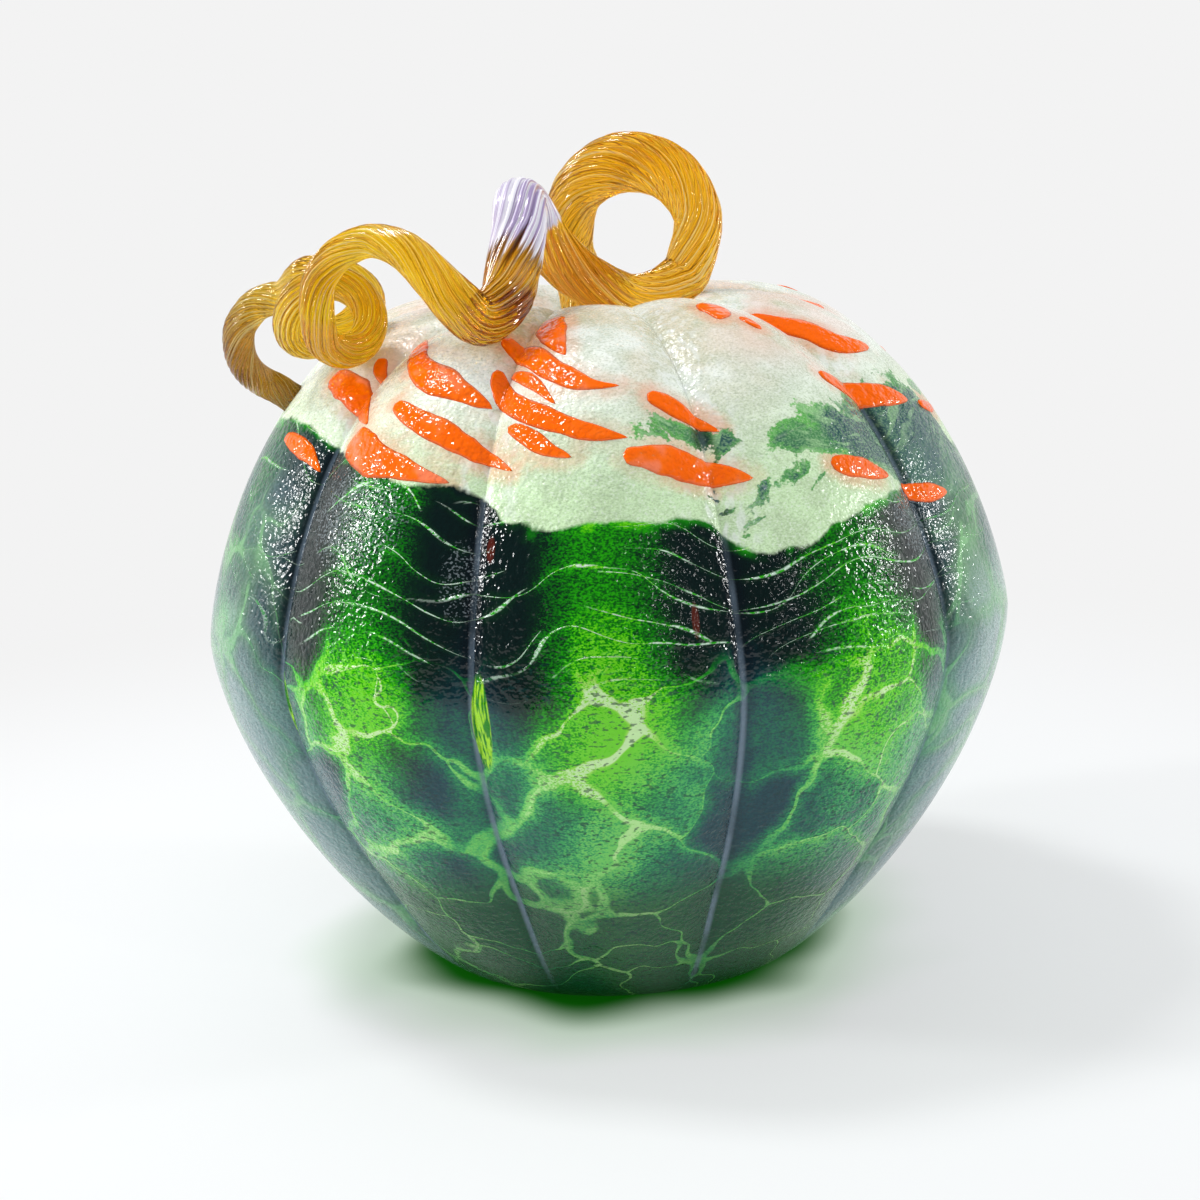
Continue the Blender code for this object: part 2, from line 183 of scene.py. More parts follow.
def mix(share, below, above):
    """The colour between two colours."""
    below, above = [(*tone, 1.0) if isinstance(tone, tuple) else tone for tone in (below, above)]
    return share.node("ShaderNodeMix", {"data_type": "RGBA"}, {0: share, 6: below, 7: above}, 2)


def ramp(value, *stops):
    """The colour that a row of positions and colours gives for this value."""
    return value.node("ShaderNodeValToRGB", {"stops": stops}, {0: value})


def grain(vector, size, detail=2.0, output=0):
    """Noise with features of this size in millimetres, on coordinates in millimetres."""
    inputs = {"Vector": vector, "Scale": 1.0 / size, "Detail": detail}
    return vector.node("ShaderNodeTexNoise", {}, inputs, output)


def stretch(vector, *factors):
    """The coordinates, each multiplied by its factor."""
    return vector.node("ShaderNodeVectorMath", {"operation": "MULTIPLY"}, {0: vector, 1: factors})


def add_vectors(first, second):
    """The sum of two vectors."""
    return first.node("ShaderNodeVectorMath", {"operation": "ADD"}, {0: first, 1: second})


def length_of(vector):
    """The length of a vector."""
    return vector.node("ShaderNodeVectorMath", {"operation": "LENGTH"}, {0: vector}, "Value")


def pick(vector, axis):
    """One of the three numbers of a vector."""
    return vector.node("ShaderNodeSeparateXYZ", {}, {0: vector}, axis)


def own_place(start):
    """A piece's Object coordinates, in millimetres."""
    return stretch(start.node("ShaderNodeTexCoord", {}, {}, "Object"), 1000.0, 1000.0, 1000.0)


def own_uv(start):
    """How far across and up its flat grid a place on a piece was, from 0 to 1."""
    where = start.node("ShaderNodeUVMap", {"uv_map": "UVMap"}, {})
    return pick(where, "X"), pick(where, "Y")


def colour(red, green, blue):
    """A colour as a screen shows it, from 0 to 255, as the linear values that a shader needs."""
    shares = [value / 255.0 for value in (red, green, blue)]
    return tuple(s / 12.92 if s <= 0.04045 else ((s + 0.055) / 1.055) ** 2.4 for s in shares)


print("a green of the glass in linear values:", [round(value, 3) for value in colour(120, 200, 20)])

# %% [markdown]
# The body is one hollow bubble, blown into a ribbed mould. Its outline is two quarter curves and a
# dimple, and its ribs are pressed in along the outline's normal. These are the same values and
# formulas as the solid's, so the finished skin lies where the solid is, only with more rows, and
# with a shallow groove along each crease.

# %% The body's outline and ribs
ROOT_RADIUS = 0.0098
ROOT_MARGIN = 0.0008
BASE_RADIUS = 0.042
WIDEST_RADIUS = 0.0941
WIDEST_HEIGHT = 0.0823
CREST_RADIUS = 0.027
CREST_HEIGHT = 0.156
DIMPLE_DEPTH = 0.0126
PIPE_HOLE_RADIUS = 0.007
WALL = 0.004
LOWER_CURVE = (1.25, 1.55)
UPPER_CURVE = (2.53, 1.41)
DIMPLE_CURVE = 0.56
CREASE_BEARINGS = (-161.0, -125.0, -88.0, -51.6, -18.6, 17.4, 54.8, 91.0, 127.0, 163.0, 199.0)
RIBS = len(CREASE_BEARINGS) - 1
CREASE_DEPTH = 0.0042
CREASE_TOP_FADE = 0.055
CREASE_BASE_FADE = 0.045
RIB_ROUNDNESS = 0.8
SEAT_GAP = 0.0003
GROOVE_DEPTH = 0.0003
GROOVE_WIDTH = 0.0010
FRONT_RIB_WIDTH = math.radians(37.0)
PROBE_TURN = 0.4
PROBE_STEP = 0.0005
SLOPE_STEP = 0.0002
OUTLINE_STEPS = 60
FLOOR_RADIUS = ROOT_RADIUS + ROOT_MARGIN


def soft_step(low, high, value):
    """0 below low and 1 above high, with a smooth rise between."""
    share = min(1.0, max(0.0, (value - low) / (high - low)))
    return share * share * (3.0 - 2.0 * share)


def outline_points():
    """Radius and height of the body's outside, from the hole over the crest to the base's edge."""
    shares = [step / OUTLINE_STEPS for step in range(OUTLINE_STEPS)]
    points = [(PIPE_HOLE_RADIUS, CREST_HEIGHT - DIMPLE_DEPTH)]
    for share in shares:
        dip = DIMPLE_DEPTH * (0.5 + 0.5 * math.cos(math.pi * share)) ** DIMPLE_CURVE
        points.append((FLOOR_RADIUS + share * (CREST_RADIUS - FLOOR_RADIUS), CREST_HEIGHT - dip))
    for share in shares:
        out = math.sin(share * math.pi / 2.0) ** (2.0 / UPPER_CURVE[0])
        up = math.cos(share * math.pi / 2.0) ** (2.0 / UPPER_CURVE[1])
        radius = CREST_RADIUS + out * (WIDEST_RADIUS - CREST_RADIUS)
        points.append((radius, WIDEST_HEIGHT + up * (CREST_HEIGHT - WIDEST_HEIGHT)))
    for share in shares + [1.0]:
        out = max(0.0, math.cos(share * math.pi / 2.0)) ** (2.0 / LOWER_CURVE[0])
        down = math.sin(share * math.pi / 2.0) ** (2.0 / LOWER_CURVE[1])
        radius = BASE_RADIUS + out * (WIDEST_RADIUS - BASE_RADIUS)
        points.append((radius, WIDEST_HEIGHT * (1.0 - down)))
    return points


OUTLINE = outline_points()
DISTANCES = [0.0]
for before, after in zip(OUTLINE, OUTLINE[1:]):
    DISTANCES.append(DISTANCES[-1] + math.dist(before, after))
CREST_DISTANCE = DISTANCES[OUTLINE_STEPS + 1]
HOLE_END = -CREST_DISTANCE
FLOOR_END = HOLE_END + FLOOR_RADIUS - PIPE_HOLE_RADIUS
BASE_END = DISTANCES[-1] - CREST_DISTANCE


def outline_at(distance):
    """Radius and height of the outline at this distance from the crest."""
    along = min(max(distance + CREST_DISTANCE, 0.0), DISTANCES[-1])
    after = min(max(bisect.bisect_left(DISTANCES, along), 1), len(DISTANCES) - 1)
    share = (along - DISTANCES[after - 1]) / (DISTANCES[after] - DISTANCES[after - 1])
    low, high = OUTLINE[after - 1], OUTLINE[after]
    return low[0] + share * (high[0] - low[0]), low[1] + share * (high[1] - low[1])


def rib_place(bearing):
    """The number of the rib at a bearing, and how far across it that is, from 0 to 1."""
    turned = (bearing - CREASE_BEARINGS[0]) % 360.0 + CREASE_BEARINGS[0]
    rib = bisect.bisect_right(CREASE_BEARINGS, turned) - 1
    width = CREASE_BEARINGS[rib + 1] - CREASE_BEARINGS[rib]
    return rib, (turned - CREASE_BEARINGS[rib]) / width


def body_point(bearing, distance, share):
    """The point of the ribbed outside at a bearing that lies this far across its rib."""
    radius, height = outline_at(distance)
    before, after = outline_at(distance - SLOPE_STEP), outline_at(distance + SLOPE_STEP)
    slope = Vector((after[0] - before[0], after[1] - before[1])).normalized()
    fade = soft_step(0.0, CREASE_TOP_FADE, distance - FLOOR_END)
    fade *= soft_step(0.0, CREASE_BASE_FADE, BASE_END - distance)
    depth = CREASE_DEPTH * fade * (1.0 - max(0.0, math.sin(math.pi * share)) ** RIB_ROUNDNESS)
    from_crease = radius * FRONT_RIB_WIDTH * min(share, 1.0 - share)
    depth += GROOVE_DEPTH * fade * math.exp(-((from_crease / GROOVE_WIDTH) ** 2))
    radius += slope[1] * depth
    height -= slope[0] * depth
    angle = math.radians(bearing)
    return Vector((radius * math.sin(angle), -radius * math.cos(angle), height))


def place_on_body(place, lift):
    """The point at this height over a bearing and a distance on the body."""
    bearing, distance = place
    share = rib_place(bearing)[1]
    here = body_point(bearing, distance, share)
    turn = PROBE_TURN / (360.0 / RIBS)
    east = body_point(bearing + PROBE_TURN, distance, share + turn)
    east -= body_point(bearing - PROBE_TURN, distance, share - turn)
    down = body_point(bearing, distance + PROBE_STEP, share)
    down -= body_point(bearing, distance - PROBE_STEP, share)
    return here + lift * down.cross(east).normalized()


print("the outline is", round(1000.0 * (BASE_END - HOLE_END)), "mm from the hole to the base")

# %% [markdown]
# All three kinds of piece are flat grids that are wrapped round something: the body's outline, the
# cane's route or a shard's strip. One helper makes such a grid, keeps each corner's flat place as
# its UV place, and moves the corner to where it belongs. Another turns a finished bmesh into an
# object at the origin, with its place in its mesh.

# %% Wrapped grids
MERGE_REACH = 1e-6


def flat_place(corner):
    """How far across and up its flat grid a corner is, from 0 to 1."""
    return (corner.co.x + 1.0) / 2.0, (corner.co.y + 1.0) / 2.0


def wrap_grid(columns, rows, point_of, uv_of=lambda across, up: (across, up)):
    """A grid of faces. The functions take a flat place, and give its point and its UV place."""
    grid = bmesh.new()
    bmesh.ops.create_grid(grid, x_segments=columns, y_segments=rows, size=1.0)
    uv_layer = grid.loops.layers.uv.new("UVMap")
    for face in grid.faces:
        for loop in face.loops:
            loop[uv_layer].uv = uv_of(*flat_place(loop.vert))
    for corner in grid.verts:
        corner.co = point_of(*flat_place(corner))
    bmesh.ops.remove_doubles(grid, verts=grid.verts, dist=MERGE_REACH)
    return grid


def to_object(shape, name):
    """Turns a bmesh into a smooth object, and frees the bmesh."""
    mesh = bpy.data.meshes.new(name)
    shape.to_mesh(mesh)
    shape.free()
    mesh.shade_smooth()
    made = bpy.data.objects.new(name, mesh)
    bpy.context.scene.collection.objects.link(made)
    return made


print("corners closer than", MERGE_REACH, "m become one")

# %% [markdown]
# The body's grid is closed at the base, and where its two ends meet at the back. Its columns crowd
# towards the creases, where the mould left a narrow groove that the plain solid doesn't have.
# Solidify grows the wall inwards, as the glass has one. The UV place says how far round and how far
# up the outline a corner is, because the colours follow the ribs and the outline rather than
# straight lines in space. Each corner also keeps its gap to the nearest shard, for the tan smears.

# %% The body's skin
COLUMNS_PER_RIB = 24
BODY_ROWS = 116
UV_SPAN = BASE_END - HOLE_END

shard_corners = [
    corner.co.copy()
    for name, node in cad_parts.items() if "shard" in name
    for corner in node.data.vertices
]
shard_tree = KDTree(len(shard_corners))
for index, corner in enumerate(shard_corners):
    shard_tree.insert(corner, index)
shard_tree.balance()


def rib_column(across):
    """Bearing, rib and share across that rib of a column. Columns crowd towards the creases."""
    rib, step = divmod(round(across * RIBS * COLUMNS_PER_RIB), COLUMNS_PER_RIB)
    if rib == RIBS:
        rib, step = RIBS - 1, COLUMNS_PER_RIB
    share = 0.5 - 0.5 * math.cos(math.pi * step / COLUMNS_PER_RIB)
    width = CREASE_BEARINGS[rib + 1] - CREASE_BEARINGS[rib]
    return CREASE_BEARINGS[rib] + share * width, rib, share


def row_distance(up):
    """Distance of a row from the crest. The rows are even, down to the base's edge."""
    return BASE_END + (HOLE_END - BASE_END) * (up * BODY_ROWS - 1.0) / (BODY_ROWS - 1.0)


def body_uv(across, up):
    """How far round, and how far up from the base along the outline."""
    _, rib, share = rib_column(across)
    return (rib + share) / RIBS, (BASE_END - row_distance(up)) / UV_SPAN


def body_corner(across, up):
    """The first row is the middle of the base. The others lie on the ribbed outline."""
    if round(up * BODY_ROWS) == 0:
        return Vector((0.0, 0.0, 0.0))
    bearing, _, share = rib_column(across)
    return body_point(bearing, row_distance(up), share)


skin = wrap_grid(RIBS * COLUMNS_PER_RIB, BODY_ROWS, body_corner, body_uv)
shard_gap = skin.verts.layers.float.new("shard_gap")
for corner in skin.verts:
    corner[shard_gap] = 1000.0 * shard_tree.find(corner.co)[2]
body = to_object(skin, "green_body")
wall = body.modifiers.new("Wall", "SOLIDIFY")
wall.thickness = WALL
wall.offset = -1.0
wall.use_even_offset = True
print("the body's skin has", len(body.data.polygons), "faces")

# %% [markdown]
# The glass of the body is painted by hot colour powders that ran and tore as the bubble grew. The top
# stays pale. Below a crisp, wavy shoreline the powder is so thick that it looks black, and green
# light shows where the glass is thin: along the middle of each rib and along a web of pale cracks.
# It all starts with plain measures of each place: its distance down the outline from the crest, how
# far across its rib it is, its gap to the nearest crease, and how far out to the side it lies.

# %% The green glass: where each place is
GREEN, green_shader, start = start_material("mottled_green_glass")
around, up_outline = own_uv(start)
millimetres = own_place(start)
BASE_EDGE = 1000.0 * BASE_END
distance = BASE_EDGE - up_outline * (1000.0 * UV_SPAN)
rib_share = (around * RIBS).maths("FRACT")
rib_middle = (rib_share * math.pi).maths("SINE")
rib_radius = length_of(stretch(millimetres, 1.0, 1.0, 0.0))
crease_gap = rib_share.maths("MINIMUM", 1.0 - rib_share) * rib_radius * (math.tau / RIBS)
sides = pick(millimetres, "X").maths("ABSOLUTE") / rib_radius
print("the base's edge is", round(BASE_EDGE, 1), "mm from the crest")

# %% [markdown]
# The shoreline and the edges of the dark bands in the pale top are curves: each gives a distance from
# the crest at every bearing. A Float Curve node holds one in a few points, and noise frays it.

# %% The green glass: shoreline and dark bands
CURVE_TOP = 200.0
SHORELINE = (
    (-64.8, 53.5), (-54.3, 55.5), (-41.7, 60.0), (-32.1, 64.0), (-20.9, 64.0), (-17.5, 66.5),
    (-14.5, 71.0), (-6.1, 73.0), (5.1, 72.5), (14.1, 72.5), (19.5, 78.5), (27.7, 81.5),
    (33.3, 78.0), (42.0, 75.0), (54.9, 74.0), (61.1, 79.0), (75.0, 76.0), (90.0, 68.0),
    (103.0, 64.0), (118.0, 71.0), (131.0, 77.0), (147.0, 69.0), (161.0, 62.0), (176.0, 70.0),
    (-149.0, 71.0), (-133.0, 64.0), (-117.0, 70.0), (-99.0, 64.0), (-80.0, 57.0),
)
BAND_TOP = (
    (-88.0, 60.0), (24.0, 62.0), (30.8, 54.5), (35.7, 52.5), (51.9, 51.0), (68.2, 49.0),
    (72.1, 57.5), (76.0, 69.0), (128.0, 62.0), (136.0, 53.0), (156.0, 50.0), (172.0, 62.0),
    (-152.0, 62.0), (-140.0, 54.0), (-118.0, 51.0), (-104.0, 60.0),
)
BAND_BOTTOM = (
    (-88.0, 57.0), (24.0, 57.0), (32.5, 61.0), (45.7, 67.0), (53.5, 72.5), (61.1, 82.0),
    (76.0, 84.0), (90.0, 60.0), (128.0, 59.0), (142.0, 60.0), (156.0, 66.0), (172.0, 60.0),
    (-152.0, 59.0), (-138.0, 61.0), (-118.0, 62.0), (-104.0, 57.0),
)
WISP_TOP = (
    (-20.0, 70.0), (1.0, 60.0), (5.0, 50.0), (10.0, 48.6), (16.0, 50.5), (22.0, 54.0), (28.0, 66.0),
)
WISP_BOTTOM = (
    (-20.0, 40.0), (1.0, 44.0), (5.0, 51.6), (10.0, 53.4), (16.0, 55.6), (22.0, 57.4), (28.0, 50.0),
)


def around_of(bearing):
    """The UV's first coordinate at a bearing."""
    rib, across = rib_place(bearing)
    return (rib + across) / RIBS


def bearing_curve(points, waver):
    """A distance in millimetres that follows these points round the body, wavering a little."""
    spread = sorted((around_of(bearing), value / CURVE_TOP) for bearing, value in points)
    seam = (spread[0][1] + spread[-1][1]) / 2.0
    spread = [(0.0, seam), *spread, (1.0, seam)]
    curve = around.node("ShaderNodeFloatCurve", {"curve": spread}, {"Factor": 1.0, "Value": around})
    return curve * CURVE_TOP + waver


def inside_band(top, bottom):
    """How many millimetres a place is inside a dark band between two curves."""
    from_top = distance - bearing_curve(top, wobble * 1.3)
    return from_top.maths("MINIMUM", bearing_curve(bottom, wobble * 1.6) - distance)


wobble = (grain(millimetres, 7.0, 3.0) - 0.5) * 5.0
shoreline = bearing_curve(SHORELINE, wobble)
bands = inside_band(BAND_TOP, BAND_BOTTOM).maths("MAXIMUM", inside_band(WISP_TOP, WISP_BOTTOM))
print("the shoreline has", len(SHORELINE), "points round the body")

# %% [markdown]
# Wisps of dark powder float in the pale top as well, just over the shoreline. They are stretched
# noise, cut off at a threshold. The hot glass flowed, so the pattern's coordinates are bowed upwards
# in the middle of each rib, and pushed about by coarse and by fine noise.

# %% The green glass: flow and wisps
FLOW_BOW = 10.0


def push(size, detail, *reach):
    """A vector of noise with features of this size, that reaches this far in each direction."""
    return stretch(add_vectors(grain(millimetres, size, detail, "Color"), (-0.5, -0.5, -0.5)), *reach)


bow = start.node("ShaderNodeCombineXYZ", {}, {"Z": rib_middle * -FLOW_BOW})
flow_place = add_vectors(add_vectors(millimetres, bow), push(26.0, 2.0, 16.0, 16.0, 14.0))
flow_place = add_vectors(flow_place, push(10.0, 1.0, 7.0, 7.0, 5.5))
wisps = (grain(stretch(flow_place, 1.0, 1.0, 3.4), 20.0, 3.0) - 0.665) * 46.0
wisps = wisps - 14.0 * rise(distance, 54.0, 44.0)
fray = (grain(millimetres, 0.8, 2.0) - 0.5) * 5.0
fray = fray + (grain(stretch(flow_place, 1.0, 1.0, 5.0), 12.0, 2.0) - 0.5) * 11.0
loose = bands.maths("MAXIMUM", wisps) + fray
shore = distance - shoreline + (grain(millimetres, 0.7, 1.0) - 0.5) * 0.6
inside = shore.maths("MAXIMUM", loose)
green_zone = rise(inside, -0.5, 0.7)
rim = rise(inside, 3.6, 0.2) * rise(grain(flow_place, 11.0, 2.0), 0.40, 0.60)
print("the green zone takes", len(GREEN.node_tree.nodes), "nodes")

# %% [markdown]
# Under the shoreline the powder tore into long thin arcs, which are contour lines of a wavering
# height. Further down it tore into cells: the pale web is the set of edges between Voronoi cells,
# wider where three cells meet. Both give a line and the softer glow beside it.

# %% The green glass: flow lines and web
WEB_DEPTHS = (92.0, 110.0)


def flow_lines(spacing, waver, size, shift, width):
    """Long thin arcs this far apart, wavering by this much, as a line and the glow beside it."""
    moved = add_vectors(millimetres, (shift, 0.0, shift))
    level = distance + rib_middle * rib_middle * 4.0
    level = level + (grain(stretch(moved, 1.0, 1.0, 1.3), size, 1.0) - 0.5) * waver
    level = level + (grain(moved, 14.0, 1.0) - 0.5) * 2.4
    gap = (level + shift).maths("PINGPONG", spacing / 2.0)
    thickness = width * (0.35 + 1.3 * rise(grain(moved, 12.0, 1.0), 0.42, 0.66))
    there = rise(grain(stretch(moved, 1.0, 1.0, 3.6), 30.0, 1.0), 0.42, 0.52)
    return rise(gap, thickness, thickness * 0.3) * there, rise(gap, width * 6.0, 0.0) * there


def web(vector, size, width, reach_of_glow):
    """Pale cracks between cells of this size: the line, the glow beside it, and a number per cell."""
    def cells(feature, output):
        inputs = {"Vector": vector, "Scale": 1.0 / size, "Randomness": 1.0}
        return vector.node("ShaderNodeTexVoronoi", {"feature": feature}, inputs, output)

    gap = cells("DISTANCE_TO_EDGE", "Distance")
    wide = width * (0.40 + 3.0 * rise(cells("F1", "Distance"), 0.50, 0.86))
    number = pick(cells("F1", "Color"), "X")
    return rise(gap, wide, wide * 0.35), rise(gap, wide + reach_of_glow, wide * 0.5), number


first_arc, first_glow = flow_lines(7.4, 34.0, 42.0, 0.0, 0.28)
second_arc, second_glow = flow_lines(12.0, 40.0, 36.0, 57.0, 0.32)
arc = first_arc.maths("MAXIMUM", second_arc)
arc_glow = first_glow.maths("MAXIMUM", second_glow)
crack, crack_glow, cell = web(stretch(flow_place, 1.0, 1.0, 1.2), 23.0, 0.028, 0.20)
lowness = rise(distance + (grain(millimetres, 16.0, 1.0) - 0.5) * 26.0, *WEB_DEPTHS)
breaks = rise(grain(flow_place, 15.0, 2.0), 0.36, 0.54)
print("arcs give way to the web between", *WEB_DEPTHS, "mm from the crest")

# %% [markdown]
# One number says how thin the powder is at each place. It adds up from these parts: a bright column
# down the middle of each rib, a broad green field under it, milky glass towards the base, and the
# glow beside each line. Fine and coarse grains of powder break it all up.

# %% The green glass: thinness
MILK_DEPTHS = (102.0, 124.0)
MOST_THIN = 0.70

patches = grain(flow_place, 19.0, 2.0)
cloud = grain(millimetres, 24.0, 2.0)
specks = grain(stretch(millimetres, 1.0, 1.0, 1.6), 0.55, 1.0)
coarse = grain(stretch(millimetres, 1.0, 1.0, 2.0), 1.2, 2.0)
scatter = (specks - 0.5) * 0.16 + (patches - 0.5) * 0.16
core = rise(rib_middle + scatter, 0.88, 1.04) * (0.10 + 0.27 * rise(distance, 86.0, 100.0))
column = rise(rib_middle + scatter, 0.56, 0.98) * 0.28 + core
column = column * (1.0 - 0.60 * rise(distance, 114.0, 136.0)) * (1.0 - 0.34 * rise(sides, 0.30, 0.60))
field = rise(rib_middle + (patches - 0.5) * 0.6, 0.50, 0.98) * rise(distance, 92.0, 106.0) * 0.10
away = rise(crease_gap, 1.0, 12.0)
milk = rise(distance + (patches - 0.5) * 24.0, *MILK_DEPTHS)
milky_share = 0.11 + 0.17 * rise(cell, 0.30, 0.60) * (0.35 + 0.65 * away) + 0.13 * rise(patches, 0.38, 0.62)
thin = column + field * (1.0 - milk) + milk * milky_share
thin = thin + (1.0 - lowness) * arc_glow * 0.10 + lowness * crack_glow * (0.10 + 0.10 * away)
thin = thin * (0.52 + 0.16 * milk + (0.68 - 0.16 * milk) * rise(specks * 0.6 + coarse * 0.4, 0.36, 0.62))
# Close to each crease the thinness is lowered, so the creases get painted shade.
thin = thin * (0.62 + 0.38 * rise(crease_gap, 0.6, 3.0)) + rim * 0.34
bright_line = (1.0 - lowness) * arc * 0.40 + lowness * crack * (0.12 + 0.24 * breaks)
thin = thin.maths("MINIMUM", MOST_THIN) + bright_line
# Where the flow arcs get painted white glints: a painted highlight.
painted_glint = arc * (1.0 - lowness) * rise(coarse, 0.44, 0.56)
print("between the lines the glass is at most", MOST_THIN, "thin")

# %% [markdown]
# Two ramps turn thinness into colour. Under the shoreline the green is vivid, from a blue black over
# leaf green to yellow green. Towards the base the glass is milky, from slate over emerald to mint,
# and its foot is a deep green. The torn bands in the pale top have a duller green of their own.

# %% The green glass: colours
FOOT_DEPTHS = (148.0, 168.0)

vivid = ramp(
    thin, (0.0, colour(4, 24, 22)), (0.12, colour(5, 44, 20)), (0.28, colour(12, 114, 8)),
    (0.46, colour(34, 164, 2)), (0.66, colour(92, 204, 2)), (0.88, colour(150, 216, 74)),
    (1.0, colour(196, 232, 166)),
)
milky = ramp(
    thin, (0.0, colour(8, 36, 52)), (0.14, colour(14, 66, 74)), (0.32, colour(20, 118, 78)),
    (0.50, colour(60, 166, 88)), (0.70, colour(108, 196, 92)), (0.88, colour(144, 216, 116)),
    (1.0, colour(176, 226, 144)),
)
milkiness = rise(distance + (patches - 0.5) * 20.0 - rib_middle * 32.0, 86.0, 112.0)
green = mix(milkiness, vivid, milky)
green = mix(rise(distance, *FOOT_DEPTHS) * (1.0 - 0.5 * crack) * 0.92, green, colour(4, 70, 40))
dark_grains = rise(grain(stretch(millimetres, 1.0, 1.0, 2.2), 1.5, 1.0), 0.42, 0.34)
dark_grains = dark_grains * rise(distance, 92.0, 108.0)
green = mix(dark_grains * (0.3 + 0.4 * rib_middle), green, colour(8, 52, 50))
# Painted highlight: near-white glints on the flow arcs.
green = mix(painted_glint * 0.8, green, colour(226, 240, 232))

torn = rise(loose, -1.0, 1.0) * (1.0 - rise(shore, -0.5, 1.5))
torn_edge = rise(loose, 3.2, 0.2) * 0.8 + rise(patches, 0.46, 0.62) * 0.5
torn_colour = mix(torn_edge, colour(56, 92, 92), colour(104, 178, 92))
pale_flow = rise(grain(stretch(flow_place, 1.0, 1.0, 4.5), 9.0, 2.0), 0.52, 0.64)
torn_colour = mix(pale_flow * 0.6 + rise(specks, 0.46, 0.62) * 0.4, torn_colour, colour(160, 204, 150))
green = mix(torn * 0.9, green, torn_colour)
print("the greens take", len(GREEN.node_tree.nodes), "nodes so far")

# %% [markdown]
# The ribs far out to either side carry painted sheen, the pale room reflected at a slant: slate above with
# pale green clouds, a grey flank further in, and a silvery haze towards the edge.

# %% The green glass: painted sheen on the side ribs
outer = rise(sides, 0.74, 0.90)
painted_side_sheen = outer * rise(distance, 50.0, 70.0) * (0.40 + 0.45 * rise(cloud, 0.62, 0.42))
painted_side_sheen = painted_side_sheen * (0.7 + 0.3 * rise(coarse, 0.40, 0.60))
# Painted sheen: slate on the side ribs.
green = mix(painted_side_sheen, green, colour(70, 98, 104))
veil = rise(cloud, 0.50, 0.66) * 0.45 + crack_glow * 0.25 + crack * 0.45 * breaks
green = mix(outer * veil * rise(distance, 60.0, 80.0), green, colour(124, 184, 122))
# Painted haze: pale silvery reflection towards the side edges.
painted_side_haze = rise(sides, 0.68, 0.86) * rise(distance + sides * 70.0 + (cloud - 0.5) * 24.0, 148.0, 180.0)
painted_side_haze = painted_side_haze * (0.40 + 0.40 * rise(specks, 0.38, 0.56)) * (1.0 - 0.5 * crack_glow)
green = mix(painted_side_haze, green, mix(rise(sides, 0.80, 0.98), colour(106, 146, 138), colour(200, 214, 218)))
# Painted sheen: grey on the flanks further in.
painted_flank_sheen = rise(sides, 0.46, 0.76) * rise(distance, 108.0, 140.0) * rise(cloud, 0.58, 0.42)
green = mix(painted_flank_sheen * (1.0 - crack_glow) * 0.50, green, colour(98, 126, 130))
print("the veils bring that to", len(GREEN.node_tree.nodes))

# %% [markdown]
# The pale top is milky glass over white, with olive and tan specks near the stem and frosty grains all over.
# White streaks that run down the creases are painted highlights. Each shard left a tan smear beside it.

# %% The green glass: pale top
SMEAR_REACH = 4.2

pale = mix(rise(distance, 34.0, 70.0), colour(241, 246, 236), colour(208, 237, 188))
olive = rise(cloud, 0.44, 0.58) * rise(distance, 62.0, 24.0)
pale = mix(olive * 0.60, pale, colour(204, 190, 150))
pale = mix(rise(grain(millimetres, 7.0, 2.0), 0.60, 0.40) * 0.30, pale, colour(168, 184, 150))
pale = mix(rise(specks, 0.50, 0.34) * 0.28, pale, colour(128, 144, 106))
pale = mix(rise(specks, 0.54, 0.70) * 0.40, pale, colour(244, 248, 242))
painted_crease_glints = rise(grain(stretch(millimetres, 1.0, 1.0, 0.06), 2.2, 2.0), 0.46, 0.62)
# Painted highlight: white streaks down the creases.
pale = mix(painted_crease_glints * rise(crease_gap, 12.0, 1.0) * 0.60, pale, colour(240, 245, 240))
gap_to_shard = start.node("ShaderNodeAttribute", {"attribute_name": "shard_gap"}, {}, "Fac")
smear = rise(gap_to_shard + (coarse - 0.5) * 2.0, SMEAR_REACH, 0.8) * rise(cloud, 0.36, 0.56)
pale = mix(smear * 0.55, pale, colour(232, 158, 120))
blush = rise(sides, 0.34, 0.62) * rise(distance, 46.0, 30.0) * rise(grain(flow_place, 14.0, 2.0), 0.42, 0.60)
pale = mix(blush * 0.45, pale, colour(244, 208, 196))
surface = mix(green_zone, pale, green)
print("tan smears reach", SMEAR_REACH, "mm from a shard")

# %% [markdown]
# The creases get painted blue black shade with a painted pale line of light along the groove, both only in
# the green. Then come the small things: leaves of yellow green powder beside the creases, a few brown
# threads, and painted highlights, pale sparkling grains in loose patches on the shoulders of the ribs. Each
# is an oval that is placed by its bearing and its distance from the crest.

# %% The green glass: creases, leaves, threads and painted sparkle
LEAVES = ((-17.4, 115.0, 2.5, 13.0, 1.0), (-51.0, 118.0, 1.8, 11.0, 1.0), (163.0, 116.0, 2.4, 12.0, 1.0))
THREADS = ((-16.4, 77.0, 1.2, 3.6, 1.0), (11.4, 93.5, 1.0, 4.6, 1.0), (-150.0, 88.0, 1.2, 4.0, 1.0))
PAINTED_SPARKLES = (
    (-39.0, 72.0, 19.0, 15.0, 1.0), (52.0, 78.0, 11.0, 16.0, 0.9), (24.0, 69.0, 11.0, 11.0, 0.6),
    (-20.5, 84.0, 6.0, 11.0, 0.7), (120.0, 80.0, 15.0, 14.0, 0.8), (-110.0, 76.0, 15.0, 14.0, 0.8),
    (178.0, 78.0, 15.0, 14.0, 0.8),
)


